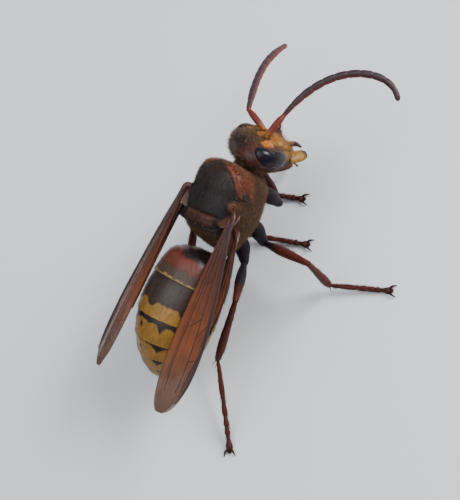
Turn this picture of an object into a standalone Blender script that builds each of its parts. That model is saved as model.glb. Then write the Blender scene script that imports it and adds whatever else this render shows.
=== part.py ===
"""A male European hornet at life size, standing with its body raised on six feet.

Metres, +Z up. +X runs from the tail to the head, +Y is the hornet's left, and the floor is z = 0.
Sizes are in millimetres in the names below, and MM turns them into metres.
"""

import math

import bmesh
import bpy
from mathutils import Matrix, Vector

MM = 0.001
GAP = 0.3  # clear space that two touching pieces keep

# Where the thorax stands, before the shift that sets the origin under the middle of the whole part.
SHIFT = (-6.38, 3.46, 0.0)
THORAX_AT = (7.3, 0.6, 8.8)
THORAX_PITCH = 22.0
THORAX_ROLL = -12.0

# The thorax, as (x, half width, top, bottom) stations from the waist up to the neck.
THORAX_SECTIONS = (
    (-3.95, 0.55, -0.75, -1.55),
    (-3.65, 1.20, 0.00, -1.66),
    (-3.15, 1.85, 1.05, -1.80),
    (-2.55, 2.30, 2.15, -2.10),
    (-1.90, 2.60, 2.92, -2.50),
    (-1.00, 2.82, 3.08, -2.88),
    (0.00, 2.92, 3.08, -3.05),
    (1.00, 2.90, 2.98, -3.05),
    (1.85, 2.82, 2.88, -2.95),
    (2.60, 2.52, 2.44, -2.62),
    (3.10, 1.96, 1.66, -2.25),
    (3.40, 1.15, 0.50, -1.80),
)
THORAX_SIDES = 28
FRONT_LEAN = 0.60  # how far the top of the thorax's front leans forward over the neck
FRONT_LEAN_X = (1.0, 3.0)
FRONT_LEAN_Z = (0.0, 2.0)
THORAX_SQUARENESS = 2.15
THORAX_WIDEST = 0.56  # height of the widest level, as a share from the belly up
COLLAR_TOP_X = 2.75  # where the pronotum meets the back shield, on the midline
COLLAR_SIDE_X = 1.05  # how far its side lobes reach back, under the wing roots
COLLAR_BELLY_X = 2.15
COLLAR_SIDE_LEVEL = 0.25  # the sine of the angle of the lobes round the thorax
WAIST_CUT_X = -2.35  # where the propodeum begins
WAIST_CENTRE_Z = -1.17
THORAX_HALF_GAP = GAP * 0.7
PRONOTUM_STEPS = 5
MESOTHORAX_STEPS = 9
PROPODEUM_STEPS = 6

# The head, as (z, half width, front, back) stations from the lip up to the crown.
HEAD_SECTIONS = (
    (-2.45, 0.95, 1.08, -0.10),
    (-2.10, 1.58, 1.42, -0.45),
    (-1.50, 2.12, 1.66, -0.78),
    (-0.80, 2.57, 1.72, -1.00),
    (0.00, 2.82, 1.66, -1.12),
    (0.85, 2.78, 1.48, -1.22),
    (1.65, 2.42, 1.15, -1.22),
    (2.22, 1.60, 0.64, -1.05),
    (2.42, 0.70, 0.10, -0.60),
)
HEAD_SIDES = 28
HEAD_RINGS = 15
HEAD_SQUARENESS = 2.3
HEAD_AT = (4.98, -0.19, -1.92)
HEAD_YAW = -17.0
HEAD_PITCH = -4.0
HEAD_ROLL = -17.0

# The left eye's middle line on the head, from its upper lobe to its lower one, and its half sizes.
EYE_LINE = (
    (0.82, 1.76, 1.62),
    (0.55, 2.30, 1.00),
    (0.50, 2.46, 0.15),
    (0.84, 2.26, -0.60),
    (1.16, 1.94, -1.15),
)
EYE_RINGS = 9
EYE_SIDES = 12
SOCKET_CLEARANCE = GAP * 1.15
EYE_HALF_WIDTHS = (0.30, 0.58, 0.62, 0.60, 0.28)
EYE_HALF_DEPTHS = (0.26, 0.42, 0.45, 0.42, 0.24)
OCELLUS_RADIUS = 0.17
OCELLI = ((0.62, 0.0, 2.12), (0.22, 0.42, 2.30), (0.22, -0.42, 2.30))
MANDIBLE_LINE = ((1.00, 1.06, -2.82), (1.34, 1.04, -3.10), (1.58, 0.84, -3.46), (1.64, 0.42, -3.72))
MANDIBLE_HALF_WIDTHS = (0.42, 0.50, 0.42, 0.22)
MANDIBLE_HALF_DEPTHS = (0.30, 0.30, 0.25, 0.14)
MANDIBLE_RINGS = 6
MANDIBLE_SIDES = 10

# The gaster, as (distance from the waist, half width, half height) stations.
GASTER_SECTIONS = (
    (0.00, 0.34, 0.34),
    (0.26, 0.44, 0.48),
    (0.40, 1.60, 1.50),
    (0.62, 2.35, 2.15),
    (1.10, 2.85, 2.62),
    (2.00, 3.12, 2.88),
    (3.30, 3.28, 3.02),
    (4.80, 3.40, 3.10),
    (6.30, 3.36, 3.04),
    (7.80, 3.12, 2.80),
    (9.10, 2.66, 2.38),
    (10.25, 2.05, 1.82),
    (11.10, 1.36, 1.20),
    (11.70, 0.55, 0.50),
)
GASTER_JOINTS = (0.0, 3.15, 6.15, 8.00, 9.30, 10.25, 11.00, 11.70)
GASTER_SIDES = 28
GASTER_YAW = -1.0  # swing of the gaster to the hornet's left
GASTER_LIFT = 27.0  # its first direction, above the thorax's own line
GASTER_DROOP = 47.0  # how far the line bends down over its whole length
WAIST_AT = (-4.42, 0.0, WAIST_CENTRE_Z)
WAIST_RISE = 1.60  # the gaster's middle line sits this much above the waist
WAIST_RISE_LENGTH = 1.0
GASTER_TWIST = 25.0  # how far its back is rolled to the hornet's right
TERGITE_TUCK = 0.045  # share by which a plate's front edge is narrower than its rim
GASTER_HALF_GAP = GAP * 0.6
GASTER_BELLY = 0.9  # the belly's depth as a share of the back's height
GASTER_WIDEST = 0.48
GASTER_SQUARENESS = 2.1
FIRST_PLATE_STEPS = 8
PLATE_STEP = 0.5

# Legs: the coxa's root and direction on the thorax, then the femur's, tibia's and tarsus's lengths.
LEG_SIZES = {
    "front": {"root": (1.60, 1.15, -3.25), "way": (-0.35, 0.15, -0.92), "lengths": (4.3, 3.9, 4.4)},
    "mid": {"root": (-1.40, 1.20, -3.00), "way": (-0.70, 0.25, -0.65), "lengths": (5.6, 4.8, 5.3)},
    "hind": {"root": (-3.05, 0.85, -2.30), "way": (-0.86, 0.20, -0.34), "lengths": (5.0, 6.4, 7.9)},
}
COXA_LENGTH = 1.7
# Toe on the floor plan, the way the tarsus points, the ankle's height, and the side the knee bends to.
LEG_POSES = {
    "front_right": {"toe": (17.2, 4.6), "tarsus": 50, "ankle": 0.9, "bend": (80, 20)},
    "front_left": {"toe": (12.0, -1.0), "tarsus": -75, "ankle": 0.9, "bend": (90, 30)},
    "mid_right": {"toe": (7.3, -12.6), "tarsus": -71, "ankle": 0.9, "bend": (-90, 60)},
    "mid_left": {"toe": (8.3, -3.5), "tarsus": -76, "ankle": 0.9, "bend": (90, 20)},
    "hind_right": {"toe": (-10.9, -5.8), "tarsus": -152, "ankle": 3.2, "bend": (-143, 35)},
    "hind_left": {"toe": (-5.5, 4.0), "tarsus": 185, "ankle": 3.0, "bend": (60, 30)},
}
COXA_RADIUS = 0.62
FEMUR_RADIUS = 0.50
TIBIA_RADIUS = 0.42
TARSUS_RADIUS = 0.30
TOE_HEIGHT = 0.12
LEG_SIDES = 8
TARSUS_JOINTS = (0.0, 0.44, 0.62, 0.74, 0.83, 1.0)

# Antennae: sockets on the head, then the ways that the scape and the flagellum point, along its length.
ANTENNA_SOCKET = (1.90, 0.66, 0.55)
SCAPE_LENGTH = 2.2
SCAPE_RADIUS = 0.32
FLAGELLUM_LENGTH = 11.7
FLAGELLUM_RADIUS = 0.36
FLAGELLUM_SEGMENTS = 12
FLAGELLUM_PIECES = 3
ANTENNA_WAYS = {
    "right": (
        (0.97, -0.24, 0.0),
        (0.97, -0.24, 0.0),
        (0.88, -0.46, -0.12),
        (0.62, -0.76, -0.22),
        (0.10, -0.94, -0.32),
        (-0.85, -0.50, -0.38),
    ),
    "left": (
        (0.45, 0.88, 0.10),
        (0.80, 0.46, -0.38),
        (0.78, 0.42, -0.46),
        (0.77, 0.33, -0.54),
        (0.71, 0.22, -0.67),
        (0.58, 0.20, -0.78),
    ),
}

# Wings, folded lengthwise into narrow blades. Directions are (heading, rise) from the thorax's frame.
WING_WAYS = {"left": (180.5, 15.5), "right": (176.0, 11.5)}
WING_DRAWN = {"left": 0.40, "right": -0.50}  # how far forward each wing's hinge is drawn
WING_SLOPE = 24.0
FOREWING = {"root": (0.20, 3.05, 2.15), "length": 17.0, "inner": 0.35}
FOREWING_EDGE = (
    (0.0, 0.50),
    (0.06, 0.68),
    (0.20, 1.40),
    (0.40, 2.25),
    (0.62, 2.90),
    (0.80, 2.85),
    (0.92, 2.20),
    (0.98, 1.35),
    (1.0, 0.65),
)
FOREWING_GRID = (18, 8)
HINDWING = {"root": (-1.50, 3.42, 1.48), "length": 10.0, "inner": 0.05}
HINDWING_EDGE = ((0.0, 0.30), (0.10, 0.55), (0.35, 1.05), (0.65, 1.20), (0.90, 0.85), (1.0, 0.40))
HINDWING_GRID = (10, 4)
WING_HALF_THICKNESS = 0.25
WING_EDGE_SHARE = 0.55  # the thickness at a wing's edges, as a share of the blade's
VEIN_RISE = 0.12

SCAPE_SHAPE = (0.60, 0.85, 1.0, 1.0, 0.85)
SCAPE_ENDS = 2.6  # room left at the scape's two ends, in gaps
FLAGELLUM_END = 1.1  # room left at each flagellum piece's end, in gaps
# The flagellum's thickness: at its root, at its tip and in its joints, as shares of its radius.
FLAGELLUM_ROOT = 0.72
FLAGELLUM_TIP = 0.70
FLAGELLUM_JOINT = 0.90
FLAGELLUM_FULL = (0.20, 0.75)  # shares of its length between which it is fullest
# Each shape below is (share of the length, share of the radius) from the body outward.
COXA_SHAPE = ((0.0, 0.70), (0.25, 1.0), (0.65, 0.95), (0.9, 0.60), (1.0, 0.36))
FEMUR_SHAPE = (
    (0.0, 0.40),
    (0.06, 0.62),
    (0.14, 0.58),
    (0.3, 0.92),
    (0.5, 1.0),
    (0.75, 0.86),
    (0.94, 0.66),
    (1.0, 0.42),
)
TIBIA_SHAPE = ((0.0, 0.50), (0.06, 0.68), (0.3, 0.80), (0.6, 0.98), (0.85, 1.0), (0.96, 0.78), (1.0, 0.5))
TARSUS_SHAPE = ((0.0, 0.62), (0.8, 1.0), (0.97, 0.9))
END_RADIUS = 0.20
HIP_RADIUS = 0.26
ANKLE_RADIUS = 0.16
LONGEST_CLEARANCE = 1.4
CLAW_LENGTH = 0.9
CLAW_SET_BACK = 0.35  # share of a claw's length that starts inside the foot
TARSUS_START = 0.8  # the foot's first ring, as a share of its size
CLAW_REACH = ((0.0, 0.0), (0.45, 0.45), (0.85, 0.60))  # ahead and aside, as shares of its length
CLAW_RADII = (0.15, 0.12, 0.05)
CLAW_SIDES = 6
MERGE = 0.002  # points nearer than this are one point
SHARP_ANGLE = 40.0
MODEL = Matrix.Identity(4)

COLOURS = {
    "chestnut": (0.13, 0.035, 0.018),
    "dark brown": (0.035, 0.018, 0.012),
    "yellow": (0.50, 0.28, 0.045),
    "eye": (0.030, 0.014, 0.020),
    "leg brown": (0.12, 0.030, 0.020),
    "amber": (0.30, 0.13, 0.045),
}


def turn(yaw=0.0, pitch=0.0, roll=0.0):
    """Turns by roll about X, then nose up by pitch, then left by yaw, in degrees."""
    return (
        Matrix.Rotation(math.radians(yaw), 4, "Z")
        @ Matrix.Rotation(math.radians(-pitch), 4, "Y")
        @ Matrix.Rotation(math.radians(roll), 4, "X")
    )


def heading(angle, rise):
    """The unit vector at this angle on the plan and this rise, in degrees."""
    a = math.radians(angle)
    e = math.radians(rise)
    return Vector((math.cos(a) * math.cos(e), math.sin(a) * math.cos(e), math.sin(e)))


def mirrored(point, side):
    """The same place on the left (side 1) or the right (side -1)."""
    return Vector((point[0], point[1] * side, point[2]))


def smooth_step(t):
    t = min(max(t, 0.0), 1.0)
    return t * t * (3.0 - 2.0 * t)


def ramp(value, limits):
    """Rises smoothly from 0 at the first limit to 1 at the second."""
    return smooth_step((value - limits[0]) / (limits[1] - limits[0]))


def profile(stations, at):
    """The stations' values at one place, on a smooth curve through them."""
    places = [row[0] for row in stations]
    at = min(max(at, places[0]), places[-1])
    i = max(k for k in range(len(places) - 1) if places[k] <= at or k == 0)
    span = places[i + 1] - places[i]
    t = (at - places[i]) / span
    before = stations[max(i - 1, 0)]
    start = stations[i]
    end = stations[i + 1]
    after = stations[min(i + 2, len(stations) - 1)]
    values = []
    for column in range(1, len(start)):
        rise = (end[column] - start[column]) / span
        lead = (end[column] - before[column]) / (end[0] - before[0])
        trail = (after[column] - start[column]) / (after[0] - start[0])
        tangent_in = lead if i > 0 else rise
        tangent_out = trail if i + 2 < len(stations) else rise
        h = t * t * (3.0 - 2.0 * t)
        values.append(
            start[column] * (1.0 - h)
            + end[column] * h
            + span * (tangent_in * t * (1.0 - t) ** 2 - tangent_out * t * t * (1.0 - t))
        )
    return values


def signed_power(value, power):
    return math.copysign(abs(value) ** power, value)


def section(angle, half_width, top, bottom, widest, squareness):
    """A point of a rounded section: sideways and upward distances at this angle."""
    middle = bottom + widest * (top - bottom)
    side = half_width * signed_power(math.cos(angle), 2.0 / squareness)
    rise = signed_power(math.sin(angle), 2.0 / squareness)
    return side, middle + rise * ((top - middle) if rise > 0 else (middle - bottom))


def ring_angles(sides):
    return [2.0 * math.pi * (k + 0.5) / sides for k in range(sides)]


def material(name):
    made = bpy.data.materials.get(name)
    if made is None:
        made = bpy.data.materials.new(name)
        made.use_nodes = True
        shader = made.node_tree.nodes["Principled BSDF"]
        shader.inputs["Base Color"].default_value = (*COLOURS[name], 1.0)
        shader.inputs["Roughness"].default_value = 0.35
        shader.inputs["Metallic"].default_value = 0.0
    return made


def new_object(name, mesh_data, colour):
    made = bpy.data.objects.new(name, mesh_data)
    bpy.context.scene.collection.objects.link(made)
    if colour:
        mesh_data.materials.append(material(colour))
    mesh_data.shade_smooth()
    mesh_data.set_sharp_from_angle(angle=math.radians(SHARP_ANGLE))
    return made


def placed(frame, point):
    """A point of this frame in metres, with the whole part set about the origin."""
    return (frame @ Vector(point) + Vector(SHIFT)) * MM


def loft(name, frame, rings, colour, ends=None):
    """Joins rings of points into one closed body. ends gives each cap's middle, or the ring's own."""
    body = bmesh.new()
    rows = [[body.verts.new(placed(frame, p)) for p in ring] for ring in rings]
    for near, far in zip(rows, rows[1:]):
        for k in range(len(near)):
            j = (k + 1) % len(near)
            body.faces.new((near[k], near[j], far[j], far[k]))
    for place, row in ((0, rows[0]), (1, rows[-1])):
        if ends is None:
            middle = sum((v.co for v in row), Vector()) / len(row)
        else:
            middle = placed(frame, ends[place])
        centre = body.verts.new(middle)
        for k in range(len(row)):
            body.faces.new((row[k], row[(k + 1) % len(row)], centre))
    bmesh.ops.recalc_face_normals(body, faces=body.faces)
    if body.calc_volume(signed=True) < 0.0:
        bmesh.ops.reverse_faces(body, faces=body.faces)
    bmesh.ops.triangulate(body, faces=body.faces)
    data = bpy.data.meshes.new(name)
    body.to_mesh(data)
    body.free()
    return new_object(name, data, colour)


def line_through(points, count):
    """count points on a smooth curve through these, evenly spread over their spans."""
    stations = [(k, *p) for k, p in enumerate(points)]
    last = len(points) - 1
    return [Vector(profile(stations, last * k / (count - 1))) for k in range(count)]


def tube_rings(line, half_widths, half_depths, outward, sides):
    """Rings round a line. half_depths lie along outward, half_widths across it."""
    rings = []
    for k, place in enumerate(line):
        ahead = (line[min(k + 1, len(line) - 1)] - line[max(k - 1, 0)]).normalized()
        out = outward(place)
        out = (out - ahead * out.dot(ahead)).normalized()
        across = ahead.cross(out)
        rings.append(
            [
                place + across * math.cos(a) * half_widths[k] + out * math.sin(a) * half_depths[k]
                for a in ring_angles(sides)
            ]
        )
    return rings


def upward(place):
    """The outward direction for round limbs. Leaning a little, it is never in line with one."""
    return Vector((0.12, 0.08, 1.0))


def combined(base, others, operation, solver="EXACT"):
    """base with a Boolean against the others, applied. The others are removed."""
    group = bpy.data.collections.new("Pieces")
    for other in others:
        group.objects.link(other)
    step = base.modifiers.new("Join", "BOOLEAN")
    step.operand_type = "COLLECTION"
    step.collection = group
    step.operation = operation
    step.solver = solver
    bpy.context.view_layer.update()
    evaluated = base.evaluated_get(bpy.context.evaluated_depsgraph_get())
    result = bpy.data.meshes.new_from_object(evaluated)
    base.modifiers.clear()
    base.data = result
    for other in others:
        bpy.data.objects.remove(other)
    bpy.data.collections.remove(group)
    keep_largest(base)
    return base


def keep_largest(obj):
    """Keeps the largest closed surface of the object, and merges what a Boolean left split."""
    body = bmesh.new()
    body.from_mesh(obj.data)
    bmesh.ops.remove_doubles(body, verts=body.verts, dist=MERGE * MM)
    bmesh.ops.dissolve_degenerate(body, edges=body.edges, dist=MERGE * MM)
    unseen = set(body.faces)
    groups = []
    while unseen:
        stack = [unseen.pop()]
        group = list(stack)
        while stack:
            for edge in stack.pop().edges:
                for face in edge.link_faces:
                    if face in unseen:
                        unseen.remove(face)
                        stack.append(face)
                        group.append(face)
        groups.append(group)
    groups.sort(key=lambda faces: sum(f.calc_area() for f in faces))
    doomed = [face for group in groups[:-1] for face in group]
    bmesh.ops.delete(body, geom=doomed, context="FACES")
    loose = [v for v in body.verts if not v.link_faces]
    bmesh.ops.delete(body, geom=loose, context="VERTS")
    bmesh.ops.triangulate(body, faces=body.faces)
    body.to_mesh(obj.data)
    body.free()


def thorax_frame():
    return Matrix.Translation(Vector(THORAX_AT)) @ turn(0.0, THORAX_PITCH, THORAX_ROLL)


def head_frame():
    place = Matrix.Translation(Vector(HEAD_AT))
    return thorax_frame() @ place @ turn(HEAD_YAW, HEAD_PITCH, HEAD_ROLL)


def thorax_point(x, angle):
    half_width, top, bottom = profile(THORAX_SECTIONS, x)
    y, z = section(angle, half_width, top, bottom, THORAX_WIDEST, THORAX_SQUARENESS)
    lean = FRONT_LEAN * ramp(x, FRONT_LEAN_X) * ramp(z, FRONT_LEAN_Z)
    return (x + lean, y, z)


def collar_edge(angle):
    """How far back the pronotum reaches, round the thorax: furthest on the sides."""
    level = math.sin(angle)
    if level > COLLAR_SIDE_LEVEL:
        share = ramp(level, (COLLAR_SIDE_LEVEL, 1.0))
        return COLLAR_SIDE_X + (COLLAR_TOP_X - COLLAR_SIDE_X) * share
    share = ramp(-level, (-COLLAR_SIDE_LEVEL, 1.0))
    return COLLAR_SIDE_X + (COLLAR_BELLY_X - COLLAR_SIDE_X) * share


def collar_front(angle):
    """The pronotum's rear rim, half the gap ahead of the collar's edge."""
    return collar_edge(angle) + THORAX_HALF_GAP


def collar_rear(angle):
    """The back shield's front rim, half the gap behind the collar's edge."""
    return collar_edge(angle) - THORAX_HALF_GAP


def level_edge(x):
    """An edge that lies at one place all round the thorax."""

    def edge(angle):
        return x

    return edge


def thorax_piece(name, front_edge, rear_edge, steps, colour, ends):
    """The part of the thorax between two edges, each a function of the angle round it."""
    angles = ring_angles(THORAX_SIDES)
    rings = []
    for k in range(steps + 1):
        share = k / steps
        rings.append(
            [
                thorax_point(front_edge(a) + (rear_edge(a) - front_edge(a)) * share, a)
                for a in angles
            ]
        )
    return loft(name, thorax_frame(), rings, colour, ends)


def build_thorax():
    neck_x = THORAX_SECTIONS[-1][0]
    waist_x = THORAX_SECTIONS[0][0]
    collar_middle = 0.5 * (COLLAR_TOP_X + COLLAR_SIDE_X)
    cut_front = WAIST_CUT_X + THORAX_HALF_GAP
    cut_rear = WAIST_CUT_X - THORAX_HALF_GAP
    thorax_piece(
        "pronotum",
        level_edge(neck_x),
        collar_front,
        PRONOTUM_STEPS,
        "chestnut",
        ((neck_x, 0.0, -1.0), (collar_middle + THORAX_HALF_GAP, 0.0, 0.0)),
    )
    thorax_piece(
        "mesothorax",
        collar_rear,
        level_edge(cut_front),
        MESOTHORAX_STEPS,
        "dark brown",
        ((collar_middle - THORAX_HALF_GAP, 0.0, 0.0), (cut_front, 0.0, 0.0)),
    )
    thorax_piece(
        "propodeum",
        level_edge(cut_rear),
        level_edge(waist_x),
        PROPODEUM_STEPS,
        "chestnut",
        ((cut_rear, 0.0, 0.0), (waist_x, 0.0, WAIST_CENTRE_Z)),
    )


def head_point(z, angle):
    """The head's surface at this height. Angle 90 degrees is the face, 0 the hornet's left."""
    half_width, front, back = profile(HEAD_SECTIONS, z)
    y, x = section(angle, half_width, front, back, 0.5, HEAD_SQUARENESS)
    return (x, y, z)


def outward_from_head(place):
    """Away from the head's middle, for the eyes."""
    return Vector((place.x * 0.55, place.y, place.z * 0.25))


def outward_from_jaw(place):
    """The way the jaws' broad sides face: forward and a little outward."""
    return Vector((1.0, 0.35 * place.y, 0.0))


def values_through(values, count):
    """count values on a smooth curve through these."""
    last = len(values) - 1
    stations = list(enumerate(values))
    return [profile(stations, last * k / (count - 1))[0] for k in range(count)]


def eye(name, side, grow, colour):
    line = line_through([mirrored(p, side) for p in EYE_LINE], EYE_RINGS)
    wide = [value + grow for value in values_through(EYE_HALF_WIDTHS, EYE_RINGS)]
    deep = [value + grow for value in values_through(EYE_HALF_DEPTHS, EYE_RINGS)]
    first = line[0] + (line[0] - line[1]).normalized() * grow
    last = line[-1] + (line[-1] - line[-2]).normalized() * grow
    line = [first, *line[1:-1], last]
    rings = tube_rings(line, wide, deep, outward_from_head, EYE_SIDES)
    return loft(name, head_frame(), rings, colour)


def mandible(name, side):
    line = line_through([mirrored(p, side) for p in MANDIBLE_LINE], MANDIBLE_RINGS)
    wide = values_through(MANDIBLE_HALF_WIDTHS, MANDIBLE_RINGS)
    deep = values_through(MANDIBLE_HALF_DEPTHS, MANDIBLE_RINGS)
    rings = tube_rings(line, wide, deep, outward_from_jaw, MANDIBLE_SIDES)
    return loft(name, head_frame(), rings, "yellow")


def ball(name, frame, centre, radius):
    body = bmesh.new()
    bmesh.ops.create_icosphere(body, subdivisions=1, radius=radius * MM)
    data = bpy.data.meshes.new(name)
    body.to_mesh(data)
    body.free()
    data.transform(Matrix.Translation(placed(frame, centre)))
    return new_object(name, data, None)


def build_head():
    frame = head_frame()
    low = HEAD_SECTIONS[0][0]
    high = HEAD_SECTIONS[-1][0]
    rings = []
    for k in range(HEAD_RINGS):
        z = low + (high - low) * (0.5 - 0.5 * math.cos(math.pi * k / (HEAD_RINGS - 1)))
        rings.append([head_point(z, a) for a in ring_angles(HEAD_SIDES)])
    head = loft("head", frame, rings, "chestnut")
    ocelli = [ball("Ocellus", frame, place, OCELLUS_RADIUS) for place in OCELLI]
    combined(head, ocelli, "UNION")
    sockets = [eye("Socket", side, SOCKET_CLEARANCE, None) for side in (1, -1)]
    combined(head, sockets, "DIFFERENCE")
    for name, side in (("left", 1), ("right", -1)):
        eye(f"eye_{name}", side, 0.0, "eye")
        mandible(f"mandible_{name}", side)


def gaster_line(distance):
    """Where the gaster's middle line is at this distance, and its direction, in the thorax's frame."""
    length = GASTER_SECTIONS[-1][0]
    steps = 24
    place = Vector((0.0, 0.0, 0.0))
    for k in range(steps):
        middle = distance * (k + 0.5) / steps
        angle = math.radians(GASTER_LIFT - GASTER_DROOP * middle / length)
        place += Vector((-math.cos(angle), 0.0, math.sin(angle))) * (distance / steps)
    angle = math.radians(GASTER_LIFT - GASTER_DROOP * distance / length)
    place.z += WAIST_RISE * smooth_step(distance / WAIST_RISE_LENGTH)
    return place, angle


def gaster_ring(distance, share):
    """The gaster's outline at this distance, scaled by share."""
    place, angle = gaster_line(distance)
    half_width, half_height = profile(GASTER_SECTIONS, distance)
    twist = math.radians(GASTER_TWIST)
    level = Vector((0.0, 1.0, 0.0))
    upright = Vector((math.sin(angle), 0.0, math.cos(angle)))
    across = level * math.cos(twist) + upright * math.sin(twist)
    up = upright * math.cos(twist) - level * math.sin(twist)
    ring = []
    for a in ring_angles(GASTER_SIDES):
        belly = -GASTER_BELLY * half_height
        y, z = section(a, half_width, half_height, belly, GASTER_WIDEST, GASTER_SQUARENESS)
        ring.append(place + across * y * share + up * z * share)
    return ring


def gaster_frame():
    return thorax_frame() @ Matrix.Translation(Vector(WAIST_AT)) @ turn(GASTER_YAW)


def build_gaster():
    last = len(GASTER_JOINTS) - 2
    for k, (start, end) in enumerate(zip(GASTER_JOINTS, GASTER_JOINTS[1:])):
        first = start + (GASTER_HALF_GAP if k > 0 else 0.0)
        final = end - (GASTER_HALF_GAP if k < last else 0.0)
        steps = FIRST_PLATE_STEPS if k == 0 else max(3, round((final - first) / PLATE_STEP))
        rings = []
        for j in range(steps + 1):
            share = j / steps
            tuck = TERGITE_TUCK * (1.0 - smooth_step(share / 0.5)) if k > 0 else 0.0
            rings.append(gaster_ring(first + (final - first) * share, 1.0 - tuck))
        colour = "chestnut" if k == 0 else "dark brown" if k < 3 else "yellow"
        loft(f"gaster_{k + 1}", gaster_frame(), rings, colour)


def antenna_line(side, ways):
    """The socket, the scape's end and the flagellum's line, on the model."""
    socket = head_frame() @ mirrored(ANTENNA_SOCKET, side)
    elbow = socket + Vector(ways[0]).normalized() * SCAPE_LENGTH
    turns = [(float(k), *way) for k, way in enumerate(ways[1:])]
    last = turns[-1][0]
    steps = 2 * FLAGELLUM_SEGMENTS
    line = [elbow]
    for k in range(steps):
        way = Vector(profile(turns, last * (k + 0.5) / steps)).normalized()
        line.append(line[-1] + way * (FLAGELLUM_LENGTH / steps))
    return socket, elbow, line


def flagellum_radius(k):
    """Half thickness at point k of the line: fuller between joints, thin at the tip."""
    share = k / (2 * FLAGELLUM_SEGMENTS)
    full, thins = FLAGELLUM_FULL
    taper = FLAGELLUM_ROOT + (1.0 - FLAGELLUM_ROOT) * smooth_step(share / full)
    taper -= (1.0 - FLAGELLUM_TIP) * smooth_step((share - thins) / (1.0 - thins))
    ridge = 1.0 if k % 2 else FLAGELLUM_JOINT
    return FLAGELLUM_RADIUS * taper * ridge


def build_antennae():
    for name, side in (("left", 1), ("right", -1)):
        socket, elbow, line = antenna_line(side, ANTENNA_WAYS[name])
        way = (elbow - socket).normalized()
        near = socket + way * GAP
        length = SCAPE_LENGTH - GAP * SCAPE_ENDS
        scape = [near + way * (length * k / 4) for k in range(5)]
        sizes = [SCAPE_RADIUS * s for s in SCAPE_SHAPE]
        loft(f"scape_{name}", MODEL, tube_rings(scape, sizes, sizes, upward, LEG_SIDES), "leg brown")
        per_piece = (len(line) - 1) // FLAGELLUM_PIECES
        for piece in range(FLAGELLUM_PIECES):
            first = piece * per_piece
            stretch = line[first : first + per_piece + 1]
            sizes = [flagellum_radius(first + k) for k in range(len(stretch))]
            if piece < FLAGELLUM_PIECES - 1:
                stretch[-1] = stretch[-1] + (stretch[-2] - stretch[-1]).normalized() * GAP * FLAGELLUM_END
            rings = tube_rings(stretch, sizes, sizes, upward, LEG_SIDES)
            loft(f"flagellum_{name}_{piece + 1}", MODEL, rings, "leg brown")


def joint(start, end, near, far, bend):
    """Where a joint sits between two places, near from the start and far from the end, bent this way."""
    across = end - start
    span = min(across.length, (near + far) * 0.999)
    way = across.normalized()
    along = (near * near - far * far + span * span) / (2.0 * span)
    out = (bend - way * bend.dot(way)).normalized()
    return start + way * along + out * math.sqrt(max(near * near - along * along, 0.0))


def leg_line(name):
    """The leg's joints on the model: coxa root, coxa end, knee, ankle and toe."""
    pair, side_name = name.split("_")
    side = 1 if side_name == "left" else -1
    sizes = LEG_SIZES[pair]
    pose = LEG_POSES[name]
    body = thorax_frame()
    first = mirrored(sizes["root"], side)
    root = body @ first
    end = body @ (first + mirrored(sizes["way"], side).normalized() * COXA_LENGTH)
    toe = Vector((*pose["toe"], TOE_HEIGHT))
    femur, tibia, foot = sizes["lengths"]
    drop = pose["ankle"] - TOE_HEIGHT
    reach = math.sqrt(foot**2 - drop**2)
    ankle = toe - heading(pose["tarsus"], 0.0) * reach + Vector((0.0, 0.0, drop))
    knee = joint(end, ankle, femur, tibia, heading(*pose["bend"]))
    return root, end, knee, ankle, toe


def clearance(before, place, after, radius):
    """How far short of a joint each of two pieces stops, so that their ends keep the gap."""
    half = 0.5 * (before - place).angle(after - place)
    return min(radius / math.tan(half) + 0.5 * GAP / math.sin(half), LONGEST_CLEARANCE)


def limb(name, start, end, near_gap, far_gap, shape, radius, colour):
    """A straight tapered limb piece that stops short of both its joints."""
    way = (end - start).normalized()
    near = start + way * near_gap
    far = end - way * far_gap
    places = [row[0] for row in shape]
    line = [near + (far - near) * place for place in places]
    sizes = [radius * row[1] for row in shape]
    rings = tube_rings(line, sizes, sizes, upward, LEG_SIDES)
    return loft(name, MODEL, rings, colour)


def claw(start, way, side):
    """One curved claw at the toe."""
    out = Vector((-way.y, way.x, 0.0)).normalized() * side
    line = [start + (way * ahead + out * aside) * CLAW_LENGTH for ahead, aside in CLAW_REACH]
    rings = tube_rings(line, CLAW_RADII, CLAW_RADII, upward, CLAW_SIDES)
    for ring in rings:
        for point in ring:
            point.z = max(point.z, 0.0)
    return loft("Claw", MODEL, rings, None)


def tarsus(name, ankle, toe, near_gap):
    """The foot: five joints that widen forward, a flat sole under the toe, and two claws."""
    way = (toe - ankle).normalized()
    length = (toe - ankle).length
    line = []
    sizes = []
    for k, (start, end) in enumerate(zip(TARSUS_JOINTS, TARSUS_JOINTS[1:])):
        near = max(start * length, near_gap)
        far = end * length
        for share, size in TARSUS_SHAPE:
            line.append(ankle + way * (near + (far - near) * share))
            sizes.append(TARSUS_RADIUS * size)
    sizes[0] *= TARSUS_START
    rings = tube_rings(line, sizes, sizes, upward, LEG_SIDES)
    for ring in rings:
        for point in ring:
            point.z = max(point.z, 0.0)
    foot = loft(name, MODEL, rings, "leg brown")
    level = Vector((way.x, way.y, 0.0)).normalized()
    start = Vector((toe.x, toe.y, TOE_HEIGHT)) - level * CLAW_LENGTH * CLAW_SET_BACK
    claws = [claw(start, level, side) for side in (1, -1)]
    return combined(foot, claws, "UNION")


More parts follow.
